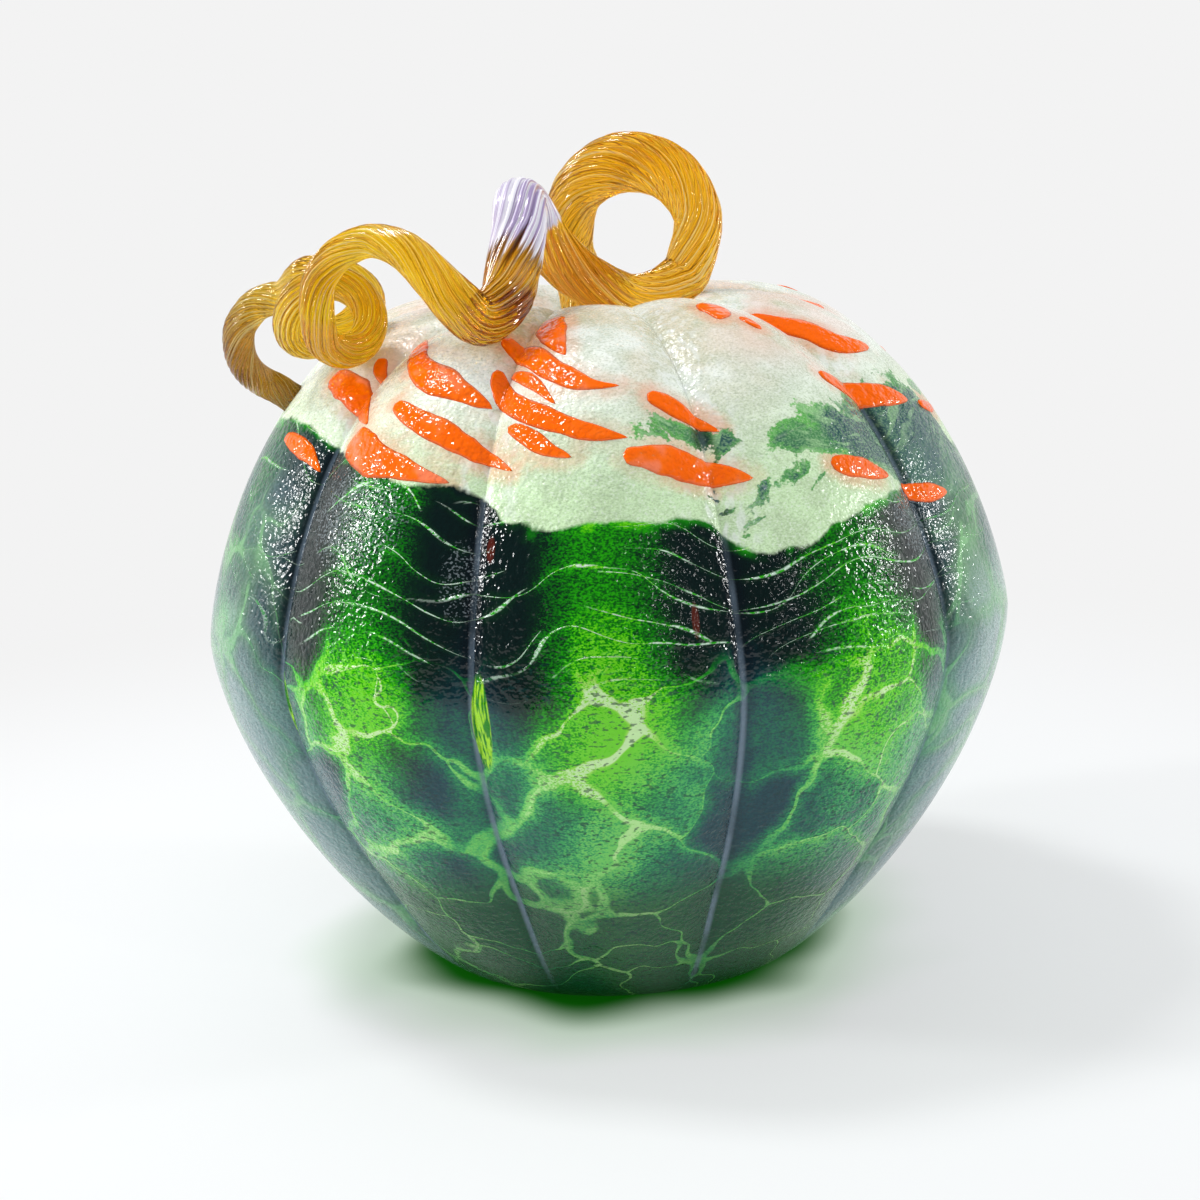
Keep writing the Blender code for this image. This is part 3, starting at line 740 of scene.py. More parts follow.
def ovals(rows):
    """Soft ovals. A row holds the bearing, the depth, half the width and height, and the strength."""
    total = 0.0
    for bearing, depth, half_width, half_height, strength in rows:
        turn = (around - around_of(bearing)) * rib_radius * (math.tau / half_width)
        fall = (distance - depth) * (1.0 / half_height)
        total = total + rise(turn * turn + fall * fall, 1.0, 0.1) * strength
    return total


crease_zone = green_zone * rise(distance, BASE_EDGE - 4.0, BASE_EDGE - 20.0)
# Painted shade in the creases, and over it a painted pale line of light along each groove.
shade = rise(crease_gap, 3.4, 1.0) * rise(distance, 122.0, 96.0)
surface = mix(shade * crease_zone * 0.75, surface, colour(5, 16, 24))
painted_crease_light = rise(crease_gap, 1.0, 0.2) * (0.4 + 0.6 * rise(grain(millimetres, 13.0, 1.0), 0.36, 0.60))
painted_crease_light = painted_crease_light * crease_zone * (0.5 + 0.35 * rise(distance, 98.0, 122.0))
surface = mix(painted_crease_light, surface, colour(116, 134, 150))

leaf_streaks = rise(grain(stretch(millimetres, 2.0, 2.0, 0.15), 1.4, 1.0), 0.42, 0.58)
leaf_colour = mix(leaf_streaks, colour(30, 128, 6), colour(156, 214, 36))
surface = mix(rise(ovals(LEAVES), 0.0, 0.35), surface, leaf_colour)
surface = mix(rise(ovals(THREADS), 0.0, 0.8) * 0.6, surface, colour(104, 34, 18))
painted_sparkle = ovals(PAINTED_SPARKLES)
sparkle_grit = grain(stretch(millimetres, 1.0, 1.0, 1.3), 0.60, 1.0) + (painted_sparkle - 1.0) * 0.16
painted_sparkle_share = rise(sparkle_grit, 0.47, 0.58) * green_zone * rise(painted_sparkle, 0.0, 0.5)
# Painted highlight: pale sparkling grains in patches on the rib shoulders.
surface = mix(painted_sparkle_share * 0.22, surface, colour(200, 214, 220))
print(len(LEAVES), "leaves,", len(THREADS), "threads and", len(PAINTED_SPARKLES), "drifts of silver")

# %% [markdown]
# The surface is granular, like orange peel, and the flow lines stand up a little. A fine bump carries
# both, so small sparks break up each reflection. The powder on the top is rougher than the green.

# %% The green glass: surface
PEEL_DEPTH = 0.0006

peel = grain(millimetres, 1.15, 1.0) + grain(millimetres, 2.8, 1.0) * 0.9
relief = peel + (bright_line + painted_glint) * green_zone * 0.8
connect(green_shader, {
    "Base Color": surface,
    "Roughness": 0.10 + 0.14 * (1.0 - green_zone) + 0.06 * rise(coarse, 0.4, 0.7),
    "Specular IOR Level": 0.4,
    "Sheen Weight": 0.03,
    "Sheen Roughness": 0.35,
    "Sheen Tint": (0.80, 0.88, 1.0, 1.0),
    "Normal": start.node(
        "ShaderNodeBump", {}, {"Height": relief, "Distance": PEEL_DEPTH, "Strength": 0.6}
    ),
})
body.data.materials.append(GREEN)
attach(body, "root")
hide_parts("body_shell")
print("the green glass has", len(GREEN.node_tree.nodes), "nodes in all")

# %% [markdown]
# The stem and the vine are one cane of amber glass. It was gathered into a ribbed mould, then pulled
# and twisted, so its ribs wind round it, tighter where it was pulled thinner. Its route is the
# solid's, with the points set closer, and a flat grid is wrapped round it.

# %% The cane's route
ROOT_NECK_RADIUS = 0.0086
RING_CANE_RADIUS = 0.0056
HOOK_CANE_RADIUS = 0.0061
TOUCH_CANE_RADIUS = 0.0054
ARCH_CANE_RADIUS = 0.0037
CURL_CANE_RADIUS = 0.0038
TAIL_CANE_RADIUS = 0.0036
RING_RADIUS = 0.015
RING_OFFSET = 0.0098
RING_CLEARANCE = 0.0057
RING_STRAND_GAP = 0.0095
RING_TOP_SWELL = 0.0014
RING_START = 190.0
RING_END = -35.0
RING_LEVEL = 65.0
CURL_RADIUS = 0.0073
CURL_STRAND_GAP = 0.0050
CURL_CLEARANCE = 0.0022
CURL_FACING = 195.0
CURL_DRIFT_BEARING = 214.5
CURL_START = 180.0
CURL_END = 800.0
CURL_SPREAD = 0.85
CURL_LIFT = 0.0026
CURL_WIDEST = 720.0
TURN_STEP = 45.0
CANE_SPACING = 0.0010
FRONT_TOUCH = (-27.3, 0.0257)
CURL_TOUCH = (-58.5, 0.0372)
TAIL_TOUCH = (-95.0, 0.0532)
TAIL_LEAD = 0.0040
TAIL_SINK = 0.0016
TAIL_FLARE = 1.2
ROOT_ROUTE = (
    (0.0, 0.0, 0.0012), (0.0, 0.0, 0.0024), (-0.0004, 0.0010, 0.0058),
    (-0.0016, 0.0034, 0.0110), (-0.0036, 0.0060, 0.0170),
)
HOOK_ROUTE = (
    (0.0196, -0.0068, 0.0147), (0.0150, -0.0084, 0.0120), (0.0091, -0.0094, 0.0110),
    (0.0035, -0.0097, 0.0130), (-0.0039, -0.0098, 0.0179), (-0.0099, -0.0104, 0.0246),
    (-0.0132, -0.0119, 0.0309), (-0.0151, -0.0166, 0.0341), (-0.0153, -0.0225, 0.0328),
    (-0.0159, -0.0275, 0.0270),
)
TOUCH_ROUTE = ((0.0064, 0.0138, 0.0085), (0.0049, 0.0056, 0.0036), (0.0, 0.0, 0.0))
ARCH_ROUTE = (
    (-0.0045, -0.0009, 0.0035), (-0.0090, 0.0018, 0.0083), (-0.0157, 0.0060, 0.0148),
    (-0.0228, 0.0103, 0.0171),
)
DROP_ROUTE = ((-0.0288, 0.0110, 0.0155), (-0.0328, 0.0112, 0.0124), (-0.0354, 0.0108, 0.0078))
TAIL_ROUTE = (
    (0.0033, -0.0208, 0.0263), (-0.0009, -0.0188, 0.0253), (-0.0043, -0.0175, 0.0240),
    (-0.0069, -0.0163, 0.0215), (-0.0088, -0.0153, 0.0187), (-0.0096, -0.0133, 0.0151),
    (-0.0096, -0.0103, 0.0112), (-0.0084, -0.0068, 0.0075), (-0.0063, -0.0022, 0.0045),
)


def ring_points(floor):
    """The ring: up on the left at the back, over, and down on the right to the front."""
    centre = floor + Vector((RING_OFFSET, 0.0, RING_RADIUS + RING_CANE_RADIUS + RING_CLEARANCE))
    pitch = 2.0 * RING_CANE_RADIUS + RING_STRAND_GAP
    points = []
    steps = round((RING_START - RING_END) / TURN_STEP)
    for step in range(steps + 1):
        turn = RING_START + (RING_END - RING_START) * step / steps
        angle = math.radians(turn)
        back = pitch * (turn - RING_LEVEL) / 360.0
        offset = Vector((RING_RADIUS * math.cos(angle), back, RING_RADIUS * math.sin(angle)))
        swell = RING_TOP_SWELL * max(0.0, math.sin(angle)) ** 2
        points.append((centre + offset, RING_CANE_RADIUS + swell))
    return points


def curl_points(bottom):
    """The two curls, through their lowest point in front, drifting back, the second one wider."""
    bearing, facing = math.radians(CURL_DRIFT_BEARING), math.radians(CURL_FACING)
    drift = Vector((math.sin(bearing), -math.cos(bearing), 0.0))
    across = Vector((-math.cos(facing), -math.sin(facing), 0.0))
    up = Vector((0.0, 0.0, 1.0))
    pitch = 2.0 * CURL_CANE_RADIUS + CURL_STRAND_GAP
    centre = bottom + CURL_RADIUS * up
    points = []
    steps = round((CURL_END - CURL_START) / TURN_STEP)
    for step in range(steps + 1):
        turn = CURL_START + (CURL_END - CURL_START) * step / steps
        angle = math.radians(turn)
        widening = math.radians(min(CURL_WIDEST - turn, 180.0))
        share = math.cos(widening / 2.0) ** 2
        offset = CURL_RADIUS * (1.0 + CURL_SPREAD * share) * math.cos(angle) * across
        offset += (CURL_RADIUS * math.sin(angle) + CURL_LIFT * share) * up
        points.append((centre + pitch * (turn - 270.0) / 360.0 * drift + offset, CURL_CANE_RADIUS))
    return points


def cane_knots():
    """The centre and radius at the points that the cane passes through."""
    floor = Vector((0.0, 0.0, outline_at(HOLE_END)[1] + SEAT_GAP))
    touch = place_on_body(FRONT_TOUCH, TOUCH_CANE_RADIUS + SEAT_GAP)
    curl = place_on_body(CURL_TOUCH, CURL_CANE_RADIUS + CURL_CLEARANCE)
    tip = place_on_body(TAIL_TOUCH, SEAT_GAP)

    def route(begin, offsets, first, last):
        """Points at these offsets, with a radius that goes evenly from first to last."""
        steps = max(1, len(offsets) - 1)
        radii = [first + (last - first) * step / steps for step in range(len(offsets))]
        return [(begin + Vector(offset), radius) for offset, radius in zip(offsets, radii)]

    knots = [(floor, ROOT_RADIUS)]
    knots += route(floor, ROOT_ROUTE, ROOT_NECK_RADIUS, RING_CANE_RADIUS)
    knots += ring_points(floor)
    knots += route(floor, HOOK_ROUTE, RING_CANE_RADIUS, HOOK_CANE_RADIUS)
    knots += route(touch, TOUCH_ROUTE, HOOK_CANE_RADIUS, TOUCH_CANE_RADIUS)
    knots += route(touch, ARCH_ROUTE, TOUCH_CANE_RADIUS, ARCH_CANE_RADIUS)
    knots += route(touch, DROP_ROUTE, ARCH_CANE_RADIUS, CURL_CANE_RADIUS)
    knots += curl_points(curl)
    knots += route(tip, TAIL_ROUTE, CURL_CANE_RADIUS, TAIL_CANE_RADIUS)
    knots.append((place_on_body(TAIL_TOUCH, SEAT_GAP + TAIL_LEAD), TAIL_CANE_RADIUS))
    knots.append((tip, TAIL_CANE_RADIUS))
    knots.append((place_on_body(TAIL_TOUCH, -TAIL_SINK), TAIL_CANE_RADIUS * TAIL_FLARE))
    return knots


def smooth_line(knots, spacing):
    """Points of a Catmull-Rom line through the knots, each with its radius, about this far apart."""
    line = []
    last = len(knots) - 1
    for index in range(last):
        near = [knots[min(max(index + side, 0), last)] for side in (-1, 0, 1, 2)]
        a, b, c, d = [Vector((*centre, radius)) for centre, radius in near]
        steps = max(1, round((c.xyz - b.xyz).length / spacing))
        for step in range(steps):
            t = step / steps
            line.append(
                0.5 * (2.0 * b + (c - a) * t + (2.0 * a - 5.0 * b + 4.0 * c - d) * t * t)
                + 0.5 * (3.0 * b - 3.0 * c + d - a) * t * t * t
            )
    line.append(Vector((*knots[-1][0], knots[-1][1])))
    return line


cane_line = smooth_line(cane_knots(), CANE_SPACING)
along_cane = [0.0]
for before, after in zip(cane_line, cane_line[1:]):
    along_cane.append(along_cane[-1] + (after.xyz - before.xyz).length)
CANE_LENGTH = along_cane[-1]


def share_along_cane(place):
    """How far along the cane the point nearest to a place is, from 0 to 1."""
    gaps = [(point.xyz - place).length for point in cane_line]
    return along_cane[gaps.index(min(gaps))] / CANE_LENGTH


print("the cane is", round(1000.0 * CANE_LENGTH), "mm long, through", len(cane_line), "points")

# %% [markdown]
# Wrapping the grid needs a side direction at each point of the line. It is carried along with as little
# turning as possible, and the twist is added on top, so the ribs show only the maker's twist.

# %% The cane's skin
CANE_RIBS = 18
STEPS_PER_CANE_RIB = 6
SCALLOP_SHARE = 0.13
SCALLOP_ROUNDNESS = 0.9
TWIST_PITCHES = (
    (0.0, 0.080), (0.12, 0.095), (0.34, 0.110), (0.42, 0.180), (0.47, 0.130), (0.56, 0.075),
    (0.66, 0.090), (0.80, 0.100), (0.90, 0.060), (1.0, 0.036),
)


def twist_pitch(share):
    """The length of cane in which its ribs go round once, at this share of the way along."""
    for (low, first), (high, second) in zip(TWIST_PITCHES, TWIST_PITCHES[1:]):
        if share <= high:
            return first + (second - first) * (share - low) / (high - low)
    return TWIST_PITCHES[-1][1]


def cane_frames(points):
    """Side and other direction at each point, and the twist up to there."""
    frames = []
    side, twist = Vector((1.0, 0.0, 0.0)), 0.0
    for index, point in enumerate(points):
        ahead = points[min(index + 1, len(points) - 1)].xyz - points[max(index - 1, 0)].xyz
        ahead.normalize()
        side = (side - side.dot(ahead) * ahead).normalized()
        if index:
            step = (point.xyz - points[index - 1].xyz).length
            twist += math.tau * step / twist_pitch(along_cane[index] / CANE_LENGTH)
        frames.append((side.copy(), ahead.cross(side), twist))
    return frames


CANE_FRAMES = cane_frames(cane_line)
CANE_ROWS = len(cane_line) - 1


def cane_uv(across, up):
    """How far round the cane, and how far along it."""
    return across, along_cane[round(up * CANE_ROWS)] / CANE_LENGTH


def cane_corner(across, up):
    """A point of the ribbed tube, whose ribs turn with the twist."""
    row = round(up * CANE_ROWS)
    side, other, twist = CANE_FRAMES[row]
    scallop = 1.0 - abs(math.sin(math.pi * CANE_RIBS * across)) ** SCALLOP_ROUNDNESS
    radius = cane_line[row].w * (1.0 - SCALLOP_SHARE * scallop)
    turn = math.tau * across + twist
    return cane_line[row].xyz + radius * (math.cos(turn) * side + math.sin(turn) * other)


tube = wrap_grid(CANE_RIBS * STEPS_PER_CANE_RIB, CANE_ROWS, cane_corner, cane_uv)
bmesh.ops.holes_fill(tube, edges=tube.edges, sides=0)
bmesh.ops.recalc_face_normals(tube, faces=tube.faces)
cane = to_object(tube, "amber_cane")
print("the cane has", len(cane.data.polygons), "faces")

# %% [markdown]
# Amber glass is clear, so most of its look is light that passes through. Its depth takes out the
# blue, so thick parts look gold and thin rims stay pale. Broad golden streaks and fine brown lines
# lie along its ribs: both are noise on the UV place, drawn out along the cane.

# %% The amber glass
AMBER_DENSITY = 290.0

AMBER, amber_shader, start = start_material("twisted_amber_glass")
cane_round, cane_along = own_uv(start)


def along_ribs(times_round, times_along, shift=0.0):
    """Streaks that follow the ribs: so many times round the cane, and so many along it."""
    streak_place = cane_round.node("ShaderNodeCombineXYZ", {}, {
        "X": cane_round * times_round, "Y": cane_along * times_along, "Z": shift,
    })
    return grain(streak_place, 1.0, 1.0)


streak = along_ribs(30.0, 3.0)
fine = along_ribs(80.0, 6.0, 5.0)
clear = ramp(
    cane_along, (0.0, colour(255, 240, 214)), (0.30, colour(255, 236, 170)),
    (0.62, colour(255, 244, 130)), (0.88, colour(255, 244, 150)), (0.93, colour(206, 170, 90)),
    (1.0, colour(140, 110, 50)),
)
amber = mix(rise(streak, 0.48, 0.38) * 0.25, clear, colour(240, 170, 10))
amber = mix(rise(fine, 0.41, 0.36) * 0.75, amber, colour(110, 54, 0))
connect(amber_shader, {
    "Base Color": amber,
    "Roughness": 0.02,
    "Transmission Weight": 1.0,
    "Specular IOR Level": 0.5,
    "IOR": 1.5,
})
depth = start.node("ShaderNodeVolumeAbsorption", {}, {
    "Color": (1.0, 0.885, 0.0, 1.0), "Density": AMBER_DENSITY,
})
amber_output = AMBER.node_tree.nodes["Material Output"]
AMBER.node_tree.links.new(depth.socket, amber_output.inputs["Volume"])
print("about a third of the blue is left after", round(1000.0 / AMBER_DENSITY, 1), "mm of glass")

# %% [markdown]
# The colour in the glass isn't even: metal salts lie in streaks just under the surface, golden in the
# ring, lemon yellow in the curls and brown at the touch and in the tail. They scatter light like paint,
# so a second shader carries them, and a Mix Shader lets the clear amber show between them.

# %% The streaks in the amber
dimple_floor = Vector((0.0, 0.0, outline_at(HOLE_END)[1] + SEAT_GAP))
touch_share = share_along_cane(place_on_body(FRONT_TOUCH, TOUCH_CANE_RADIUS + SEAT_GAP))
gold = ramp(
    cane_along, (0.0, colour(214, 180, 110)), (0.08, colour(240, 170, 20)), (0.16, colour(255, 184, 0)),
    (0.36, colour(255, 190, 0)), (touch_share - 0.03, colour(236, 164, 10)),
    (touch_share, colour(170, 100, 10)), (touch_share + 0.035, colour(255, 206, 0)),
    (touch_share + 0.12, colour(255, 222, 0)), (0.86, colour(255, 212, 0)),
    (0.93, colour(170, 124, 14)), (0.975, colour(236, 190, 10)), (1.0, colour(60, 44, 10)),
)
gold = mix(rise(streak, 0.46, 0.34) * 0.40, gold, colour(206, 116, 0))
gold = mix(rise(fine, 0.42, 0.36) * 0.75, gold, colour(104, 50, 0))
# Painted highlights: pale yellow lines along the ribs.
gold = mix(rise(fine, 0.56, 0.61), gold, colour(255, 248, 190))
tail_share = rise(cane_along, 0.88, 0.92) * rise(cane_along, 0.97, 0.95)
gold = mix(tail_share * rise(streak, 0.56, 0.46) * 0.8, gold, colour(96, 60, 8))
gold_shader = start.node("ShaderNodeBsdfPrincipled", {}, {
    "Base Color": gold, "Roughness": 0.04, "Specular IOR Level": 0.6,
})
streaky = start.node("ShaderNodeMixShader", {}, {
    0: 0.08 + 0.28 * rise(streak, 0.45, 0.58),
    1: Wire(AMBER.node_tree, amber_shader.outputs[0]),
    2: gold_shader,
})
print("the touch is", round(touch_share, 3), "of the way along the cane")

# %% [markdown]
# On the hook's top the cane is opaque and lavender white, partly a silvery lustre of the glass and partly a
# painted reflection of the pale room, and this breaks up into streaks along the ribs on its way down. A Mix
# Shader lays it over the amber.

# %% The lustre and painted reflection on the hook
LUSTRE_KNOTS = (5, 6, 8, 9)

lustre_from, lustre_full, lustre_faded, lustre_to = [
    share_along_cane(dimple_floor + Vector(HOOK_ROUTE[index])) for index in LUSTRE_KNOTS
]
lustre_and_reflection = rise(cane_along, lustre_from, lustre_full) * rise(cane_along, lustre_to + 0.05, lustre_faded)
lustre_and_reflection = rise(lustre_and_reflection * 0.75 + (fine - 0.5) * 0.9 + (streak - 0.5) * 0.4, 0.30, 0.48)
lustre_reflection_shader = start.node("ShaderNodeBsdfPrincipled", {}, {
    "Base Color": mix(rise(fine, 0.40, 0.56), colour(168, 150, 190), colour(240, 238, 246)),
    "Roughness": 0.15,
    "Specular IOR Level": 0.6,
})
# The hook's top: partly lustre, partly painted reflection.
layered = start.node("ShaderNodeMixShader", {}, {0: lustre_and_reflection, 1: streaky, 2: lustre_reflection_shader})
AMBER.node_tree.links.new(layered.socket, amber_output.inputs["Surface"])
print("lustre from", round(lustre_from, 3), "to", round(lustre_to, 3), "of the way along the cane")
cane.data.materials.append(AMBER)
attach(cane, "root")
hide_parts("stem_and_vine")

# %% [markdown]
# The orange shards are bits of opaque glass that melted flat on the hot bubble and were dragged into
# flames. Each is a strip along the same middle line as its solid, but finer: its outline wavers, one
# end is blunt and the other drawn out, and its top is crowned. Solidify sinks its back into the body,
# as fused glass is. A row holds the middle line's bearings and distances from the crest, then the
# shard's width, and the share of the way along at which it is widest.

# %% Where the shards lie
SHARD_CROWN = 0.00035
SHARD_CROWN_REACH = 0.0012
SHARD_SINK = 0.0006
SHARD_HEAD_SHARE = 0.10
SHARDS = (
    (((-14.0, 0.011), (-12.0, 0.018), (-9.5, 0.025), (-6.5, 0.031)), 0.0064, 0.30),
    (((-23.5, 0.022), (-17.5, 0.026), (-10.0, 0.034), (-2.5, 0.040), (4.0, 0.041)), 0.0054, 0.40),
    (((-18.5, 0.033), (-14.5, 0.036), (-11.0, 0.040), (-7.5, 0.045)), 0.0030, 0.45),
    (((-21.5, 0.033), (-17.0, 0.042), (-9.5, 0.048), (-2.5, 0.052), (4.5, 0.054)), 0.0052, 0.45),
    (((-16.0, 0.049), (-11.5, 0.053), (-8.0, 0.056), (-4.5, 0.058)), 0.0038, 0.40),
    (((-39.0, 0.046), (-31.5, 0.050), (-25.0, 0.053), (-19.5, 0.056), (-14.0, 0.060)), 0.0052, 0.40),
    (((-50.0, 0.023), (-43.0, 0.031), (-34.5, 0.038), (-26.5, 0.041), (-20.0, 0.044)), 0.0066, 0.55),
    (((-64.0, 0.041), (-57.5, 0.042), (-51.5, 0.045), (-44.0, 0.051)), 0.0070, 0.40),
    (((-56.0, 0.032), (-54.0, 0.035), (-51.0, 0.038)), 0.0034, 0.45),
    (((-46.5, 0.054), (-40.5, 0.058), (-32.5, 0.061), (-24.0, 0.063)), 0.0078, 0.25),
    (((-66.0, 0.058), (-61.0, 0.059), (-57.0, 0.060), (-53.0, 0.063)), 0.0042, 0.45),
    (((9.0, 0.043), (14.5, 0.047), (20.5, 0.053)), 0.0046, 0.40),
    (((3.5, 0.058), (9.5, 0.059), (16.0, 0.062), (23.5, 0.065)), 0.0068, 0.45),
    (((36.0, 0.012), (37.0, 0.017), (33.5, 0.022)), 0.0056, 0.50),
    (((40.5, 0.022), (41.5, 0.028)), 0.0030, 0.50),
    (((55.0, 0.016), (58.0, 0.026), (62.0, 0.036), (70.0, 0.041)), 0.0066, 0.60),
    (((46.5, 0.043), (54.0, 0.048), (60.5, 0.052), (67.0, 0.056)), 0.0062, 0.50),
    (((37.0, 0.065), (43.0, 0.067), (50.0, 0.070)), 0.0048, 0.45),
    (((70.0, 0.058), (77.0, 0.061)), 0.0034, 0.50),
    (((90.0, 0.016), (93.0, 0.022), (98.0, 0.029)), 0.0048, 0.45),
    (((53.0, 0.073), (58.0, 0.076), (63.5, 0.078)), 0.0044, 0.50),
    (((86.0, 0.042), (93.0, 0.046), (101.0, 0.048)), 0.0058, 0.40),
    (((88.0, 0.065), (95.0, 0.068), (102.0, 0.073)), 0.0050, 0.45),
    (((111.0, 0.021), (117.0, 0.028), (126.0, 0.032)), 0.0058, 0.45),
    (((113.0, 0.050), (121.0, 0.054), (129.0, 0.056), (136.0, 0.059)), 0.0062, 0.45),
    (((140.0, 0.031), (148.0, 0.036), (156.0, 0.038)), 0.0050, 0.40),
    (((151.0, 0.052), (158.0, 0.056), (166.0, 0.058)), 0.0056, 0.45),
    (((172.0, 0.020), (179.0, 0.027), (188.0, 0.030)), 0.0060, 0.50),
    (((181.0, 0.044), (189.0, 0.048), (198.0, 0.050), (205.0, 0.053)), 0.0064, 0.45),
    (((202.0, 0.066), (208.0, 0.068), (215.0, 0.072)), 0.0044, 0.45),
    (((210.0, 0.026), (217.0, 0.033), (226.0, 0.036)), 0.0058, 0.45),
    (((226.0, 0.051), (233.0, 0.055), (241.0, 0.056)), 0.0056, 0.40),
    (((246.0, 0.023), (252.0, 0.029), (258.0, 0.033)), 0.0048, 0.50),
)


def shard_place(middle, share):
    """The place at this share of the way along a shard's middle."""
    last = len(middle) - 1
    along = min(share * last, last - 1e-6)
    index = int(along)
    t = along - index
    a, b, c, d = [Vector(middle[min(max(index + side, 0), last)]) for side in (-1, 0, 1, 2)]
    return 0.5 * (
        2.0 * b + (c - a) * t + (2.0 * a - 5.0 * b + 4.0 * c - d) * t * t
        + (3.0 * b - 3.0 * c + d - a) * t * t * t
    )


print(len(SHARDS), "shards,", 1000.0 * max(width for _, width, _ in SHARDS), "mm wide at most")

# %% [markdown]
# The orange glass is opaque and wet looking. Salmon clouds and darker flecks lie in it, its rim is darker,
# and a soft bump stands for the unevenness that the heat left.

# %% The orange glass
ORANGE, orange_shader, start = start_material("opaque_orange_glass")
orange_place = own_place(start)
to_edge = own_uv(start)[1].maths("PINGPONG", 0.5)
salmon = grain(orange_place, 9.0, 2.0)
flecks = grain(orange_place, 0.8, 2.0)
orange = mix(rise(salmon, 0.48, 0.62), colour(255, 104, 0), colour(255, 112, 16))
orange = mix(rise(salmon, 0.58, 0.68) * 0.6, orange, colour(252, 142, 108))
orange = mix(rise(flecks, 0.60, 0.72) * 0.3, orange, colour(214, 66, 4))
orange = mix(rise(to_edge, 0.10, 0.02) * 0.5, orange, colour(196, 74, 6))
uneven = grain(orange_place, 1.3, 1.0) + grain(orange_place, 3.4, 1.0) * 1.5
connect(orange_shader, {
    "Base Color": orange,
    "Roughness": 0.06 + 0.08 * rise(flecks, 0.4, 0.7),
    "Specular IOR Level": 0.5,
    "Normal": start.node(
        "ShaderNodeBump", {}, {"Height": uneven, "Distance": 0.0008, "Strength": 0.6}
    ),
})
print("the orange glass has", len(ORANGE.node_tree.nodes), "nodes")

# %% [markdown]
# A shard's outline has to look torn but stay near its solid. So its half width follows a sine that
# leans towards the blunt end, and seeded noise wavers each edge. The strip's top is crowned by a
# third of a millimetre, and Solidify sinks its back.

# %% The shards
SHARD_STEP = 0.0012
SHARD_LEAST_STEPS = 14
SHARD_ROWS = 8
SHARD_PROBE = 0.02
SHARD_WAVER = 0.45
WAVERS = ((110.0, 7.0, 1.0), (300.0, 9.0, 0.3))


def strip_point(number, shape, length, along, across):
    """A point of a shard's strip: waver moves its edges, and the crown lifts its middle."""
    middle, width, head = shape
    bend = math.log(0.5) / math.log(head)
    place = shard_place(middle, along)
    step = shard_place(middle, min(along + SHARD_PROBE, 1.0))
    step -= shard_place(middle, max(along - SHARD_PROBE, 0.0))
    radius = outline_at(place[1])[0]
    heading = Vector((math.radians(step[0]) * radius, step[1])).normalized()
    swell = max(0.0, math.sin(math.pi * along ** bend)) ** (0.55 if along < head else 0.85)
    edge = 1.0 if across > 0.5 else -1.0
    waver = 0.0
    for scale, seed, strength in WAVERS:
        waver += strength * noise.noise(Vector((along * length * scale, 3.0 * edge, seed * number)))
    head_share = SHARD_HEAD_SHARE * (1.0 - along)
    half = width / 2.0 * (head_share + (1.0 - head_share) * swell) * (1.10 + SHARD_WAVER * waver)
    side = (2.0 * across - 1.0) * half
    bearing = place[0] + math.degrees(side * heading[1] / radius)
    flat = 1.0 - (2.0 * across - 1.0) ** 6
    crown = SHARD_CROWN * flat * min(1.0, half / SHARD_CROWN_REACH)
    return place_on_body((bearing, place[1] - side * heading[0]), crown)


def make_shard(number, shape):
    """One shard, crowned, sunk into the body and ready to ride."""
    stops = [place_on_body(stop, 0.0) for stop in shape[0]]
    length = sum((after - before).length for before, after in zip(stops, stops[1:]))
    steps = max(SHARD_LEAST_STEPS, round(length / SHARD_STEP))
    strip = wrap_grid(steps, SHARD_ROWS, lambda *flat: strip_point(number, shape, length, *flat))
    middle_face = strip.faces[:][len(strip.faces) // 2]
    outwards = middle_face.calc_center_median() - Vector((0.0, 0.0, WIDEST_HEIGHT))
    if middle_face.normal.dot(outwards) < 0.0:
        bmesh.ops.reverse_faces(strip, faces=strip.faces)
    shard = to_object(strip, f"melted_shard_{number:02d}")
    shard.data.materials.append(ORANGE)
    back = shard.modifiers.new("Back", "SOLIDIFY")
    back.thickness = SHARD_SINK
    back.offset = -1.0
    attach(shard, "root")
    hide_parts(f"orange_shard_{number:02d}")
    return shard


shards = [make_shard(number, shape) for number, shape in enumerate(SHARDS, 1)]
print(len(shards), "shards, the first with", len(shards[0].data.polygons), "faces")

# %% [markdown]
# The floor is a pale disc. Near the object it takes light and shadow, and the green that the glass
# throws on it is painted there, deep at the contact and faint further out. Beyond that the disc
# fades into the same pale tone as the backdrop, so no edge shows. It does so only for rays from the
# camera and for those off gloss and through glass. The light on the object stays as it is.

# %% The floor
BACKDROP = colour(243, 243, 243)
FLOOR_REACH = 3.0
FLOOR_SIDES = 96
TINT_REACH = (84.0, 48.0)
CONTACT_REACH = (59.0, 43.0)
FADE_REACH = (120.0, 400.0)


def light_path(start, output):
    """One thing that the Light Path node tells about the ray that meets a place."""
    return start.node("ShaderNodeLightPath", {}, {}, output)


def seen_directly(start):
    """1 for rays from the camera, off gloss and through glass, 0 for the light on the object."""
    camera_ray, glossy_ray, glass_ray = [
        light_path(start, f"Is {kind} Ray") for kind in ("Camera", "Glossy", "Transmission")
    ]
    return camera_ray.maths("MAXIMUM", glossy_ray).maths("MAXIMUM", glass_ray)


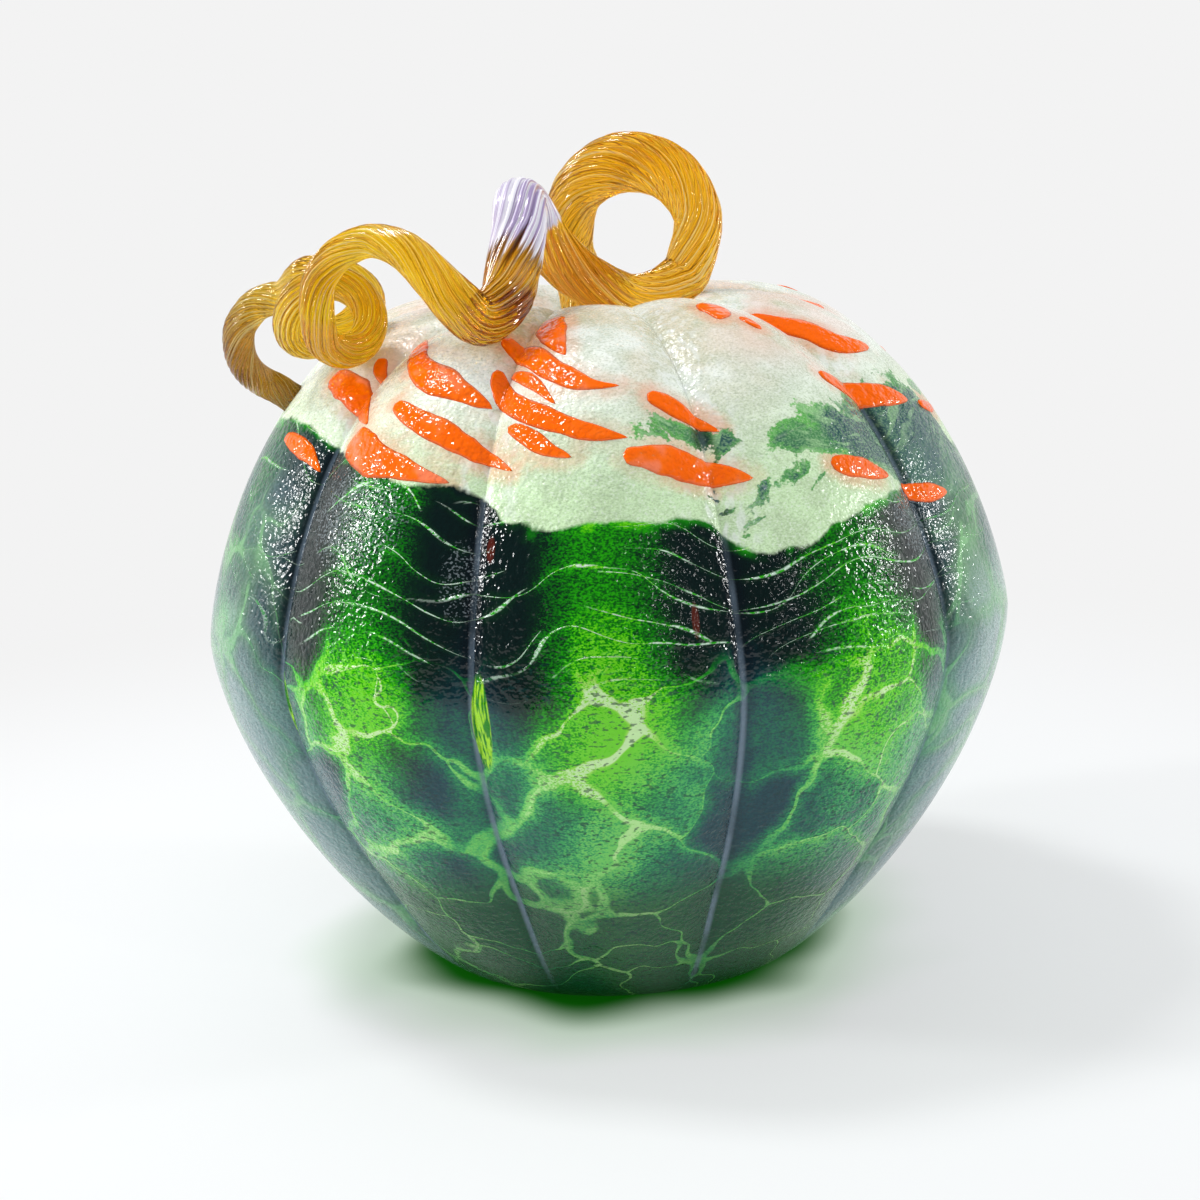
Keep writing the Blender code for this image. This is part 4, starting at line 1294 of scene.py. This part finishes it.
disc = bmesh.new()
bmesh.ops.create_circle(disc, cap_ends=True, segments=FLOOR_SIDES, radius=FLOOR_REACH)
floor = to_object(disc, "floor")
FLOOR, floor_shader, start = start_material("pale_floor")
floor_place = own_place(start)
from_middle = length_of(floor_place)
near = from_middle + (grain(floor_place, 46.0, 1.0) - 0.5) * 28.0
tint = rise(near, *TINT_REACH) * 0.42
contact = rise(near, *CONTACT_REACH)
lit = mix(contact, mix(tint, (0.86, 0.88, 0.89), colour(120, 190, 110)), colour(14, 100, 6))
glowing = mix(contact, mix(tint, BACKDROP, colour(120, 190, 110)), colour(10, 90, 4))
connect(floor_shader, {"Base Color": lit, "Roughness": 0.6, "Specular IOR Level": 0.2})
joined = start.node("ShaderNodeMixShader", {}, {
    0: (0.50 + 0.50 * rise(from_middle, *FADE_REACH)) * seen_directly(start),
    1: Wire(FLOOR.node_tree, floor_shader.outputs[0]),
    2: start.node("ShaderNodeEmission", {}, {"Color": glowing, "Strength": 1.0}),
})
FLOOR.node_tree.links.new(joined.socket, FLOOR.node_tree.nodes["Material Output"].inputs["Surface"])
floor.data.materials.append(FLOOR)
floor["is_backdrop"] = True
print("the floor reaches", FLOOR_REACH, "m out and glows green up to", TINT_REACH[0], "mm")

# %% [markdown]
# The world is the pale backdrop, a little darker where it only lights the object. Gloss is another
# matter: dark glass mirrors the whole room, and an all white room would turn its blacks grey. In a
# real studio the room in front and overhead is dim, with only the backdrop and the lamps bright. So
# mirrored rays find the pale backdrop behind the object, and a dim room elsewhere. The directions
# are fixed in the world, and rays that have passed through the amber aren't changed by this.

# %% The world
WALL_EDGE = (-0.20, 0.20)
WALL_TOP = (0.62, 0.42)

world = bpy.data.worlds.new("studio")
bpy.context.scene.world = world
world.use_nodes = True
air = Wire(world.node_tree)
sky = mix(seen_directly(air), (0.66, 0.67, 0.69), BACKDROP)
heading = air.node("ShaderNodeTexCoord", {}, {}, "Generated")
behind = rise(pick(heading, "Y"), *WALL_EDGE) * rise(pick(heading, "Z"), *WALL_TOP)
mirrored = light_path(air, "Is Glossy Ray") * rise(light_path(air, "Transmission Depth"), 0.9, 0.1)
sky = mix(mirrored * (1.0 - behind), sky, (0.10, 0.11, 0.13))
world.node_tree.links.new(sky.socket, world.node_tree.nodes["Background"].inputs["Color"])
print("the backdrop's tone is", round(BACKDROP[0], 3), "in linear values")

# %% [markdown]
# Four soft panels light the object. A tall one stands at each side: their reflections make the broad
# sparkling patches on the left and right ribs. A slim weak one in front on the right adds sparks to
# the front ribs, and a square one overhead lights the pale top and the cane.

# %% Lamps
LIGHT_AIM = Vector((0.0, 0.0, 0.09))
LAMPS = (
    ("left_panel", (-1.00, -0.05, 0.52), (0.11, 0.28), 4.8),
    ("right_panel", (1.02, 0.02, 0.36), (0.08, 0.22), 2.8),
    ("front_panel", (0.62, -0.80, 0.52), (0.04, 0.12), 0.6),
    ("top_panel", (-0.42, 0.16, 1.10), (0.22, 0.22), 5.5),
)

for name, spot, size, power in LAMPS:
    data = bpy.data.lights.new(name, "AREA")
    data.shape = "RECTANGLE"
    data.size, data.size_y = size
    data.energy = power
    lamp = bpy.data.objects.new(name, data)
    bpy.context.scene.collection.objects.link(lamp)
    turn = (LIGHT_AIM - Vector(spot)).to_track_quat("-Z", "Y").to_matrix().to_4x4()
    lamp.matrix_world = Matrix.Translation(Vector(spot)) @ turn
    print(name, "gives", power, "W")

# %% [markdown]
# Last come the colour settings, and the sizes of the solids and of the finish.

# %% Finish
bpy.context.scene.view_settings.view_transform = "Standard"
finished_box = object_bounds()
boxes = {"cad": [list(corner) for corner in cad_box], "visual": [list(corner) for corner in finished_box]}
for name, box in boxes.items():
    print(name, [round(1000.0 * (high - low), 2) for low, high in zip(*box)], "mm")
